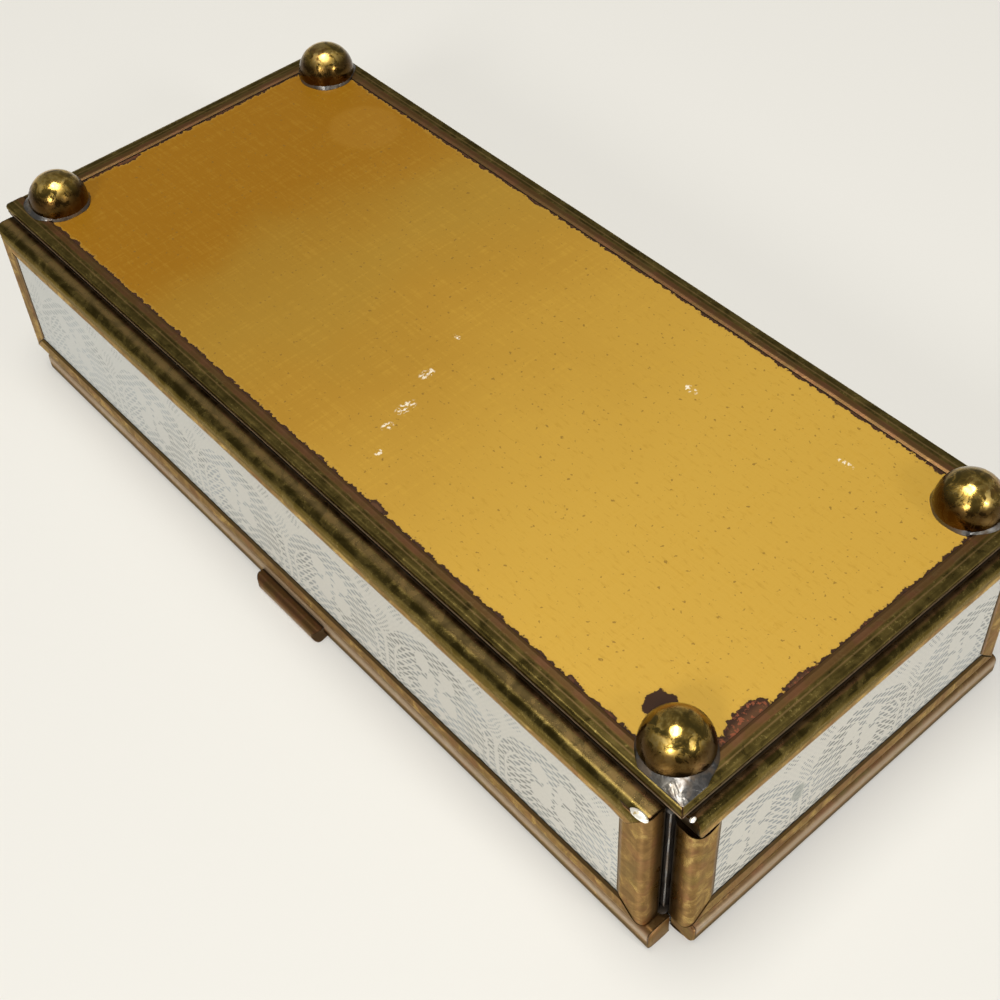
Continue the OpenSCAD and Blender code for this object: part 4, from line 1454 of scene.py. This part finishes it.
def ground(name, z, up):
    """Pale plane seen from one side only, which neither shades nor lights the object from behind. Part
    of its paleness is its own, so that the object's shadow on it stays soft."""
    half = 3.0
    p = np.array([(-half, -half, z), (half, -half, z), (half, half, z), (-half, half, z)])
    me = bpy.data.meshes.new(name)
    me.from_pydata(p.tolist(), [], [[0, 1, 2, 3] if up else [3, 2, 1, 0]])
    m = bpy.data.materials.new(name)
    m.use_nodes = True
    t = m.node_tree
    shader = t.nodes["Principled BSDF"]
    c = colours()["table"]
    tone = mix(t, c, tuple(v * 0.985 for v in c[:3]) + (1,), noise(t, place(t), 3.0, 2.0))
    put(t, shader.inputs["Base Color"], tone)
    shader.inputs["Roughness"].default_value = 0.5
    own = node(t, "ShaderNodeEmission", Color=tone, Strength=0.90)
    clear = node(t, "ShaderNodeBsdfTransparent")
    behind = node(t, "ShaderNodeNewGeometry", out="Backfacing")

    def blend(share, a, b):
        n = t.nodes.new("ShaderNodeMixShader")
        for socket, wire in zip(n.inputs, (share, a, b)):
            put(t, socket, wire)
        return Wire(t, n.outputs[0])

    lit = blend(seen_plainly(t) * 0.5, Wire(t, shader.outputs[0]), own)
    put(t, t.nodes["Material Output"].inputs[0], blend(behind, lit, clear))
    me.materials.append(m)
    ob = added(name, me)
    ob.visible_shadow = False
    ob.visible_diffuse = False
    return ob


class CASKET_OT_stage(bpy.types.Operator):
    """Set the camera, the lamps, the table under the lid and the floor under the feet"""
    bl_idname = "casket.stage"
    bl_label = "Stage"

    def execute(self, context):
        sc = context.scene
        cam = added("camera", bpy.data.cameras.new("camera"))
        cam.data.lens, cam.data.sensor_width, cam.data.clip_start = LENS, SENSOR, 0.005
        lo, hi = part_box("base_frame")
        middle = Vector(((lo[0] + hi[0]) / 2, (lo[1] + hi[1]) / 2, lo[2]))
        aim(cam, middle + Vector(EYE), middle + Vector(AIM), up=(0, 0, -1), roll=ROLL)
        sc.camera = cam
        sc.view_settings.view_transform = "Standard"
        ground("table", float(cad_bounds[1][2]) + 0.00005, False)
        ground("floor", -0.00002, True).visible_glossy = False
        for side in (-1, 1):
            for name, (x, y, z), watts, size, tint in LAMPS:
                lamp(f"{name} {side}", (x, y, side * z), watts, size, tint)
        w = bpy.data.worlds.new("room")
        sc.world = w
        w.use_nodes = True
        bg = w.node_tree.nodes["Background"]
        bg.inputs["Color"].default_value = AIR
        bg.inputs["Strength"].default_value = 0.20
        return {"FINISHED"}


# ---------------------------------------------------------------- add-on

PIECES = (CASKET_OT_stage, CASKET_OT_base_plate, CASKET_OT_base_came, CASKET_OT_wall_panes,
          CASKET_OT_wall_cames, CASKET_OT_seams, CASKET_OT_foot_solder, CASKET_OT_feet,
          CASKET_OT_lid_pane, CASKET_OT_lid_came, CASKET_OT_tab, CASKET_OT_hinges,
          CASKET_OT_hinge_solder)


class CASKET_PT_panel(bpy.types.Panel):
    """The sizes, the colours and the pieces in the order in which they are made"""
    bl_idname = "CASKET_PT_panel"
    bl_label = "Glass Casket"
    bl_space_type = "VIEW_3D"
    bl_region_type = "UI"
    bl_category = "Casket"

    def draw(self, context):
        for values in (context.scene.casket_sizes, context.scene.casket_colours):
            box = self.layout.box()
            for key in type(values).__annotations__:
                box.prop(values, key)
        for op in PIECES:
            self.layout.operator(op.bl_idname)


CLASSES = (CasketSizes, CasketColours) + PIECES + (CASKET_PT_panel,)


def register():
    """Registers the classes and hangs the two groups of values on the scene."""
    for cls in CLASSES:
        bpy.utils.register_class(cls)
    bpy.types.Scene.casket_sizes = PointerProperty(type=CasketSizes)
    bpy.types.Scene.casket_colours = PointerProperty(type=CasketColours)


def unregister():
    """Takes both away again."""
    del bpy.types.Scene.casket_sizes
    del bpy.types.Scene.casket_colours
    for cls in reversed(CLASSES):
        bpy.utils.unregister_class(cls)


def main():
    """Registers the add-on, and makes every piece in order."""
    register()
    for op in PIECES:
        name = op.bl_idname.split(".")[1]
        getattr(bpy.ops.casket, name)()


if __name__ == "__main__":
    main()
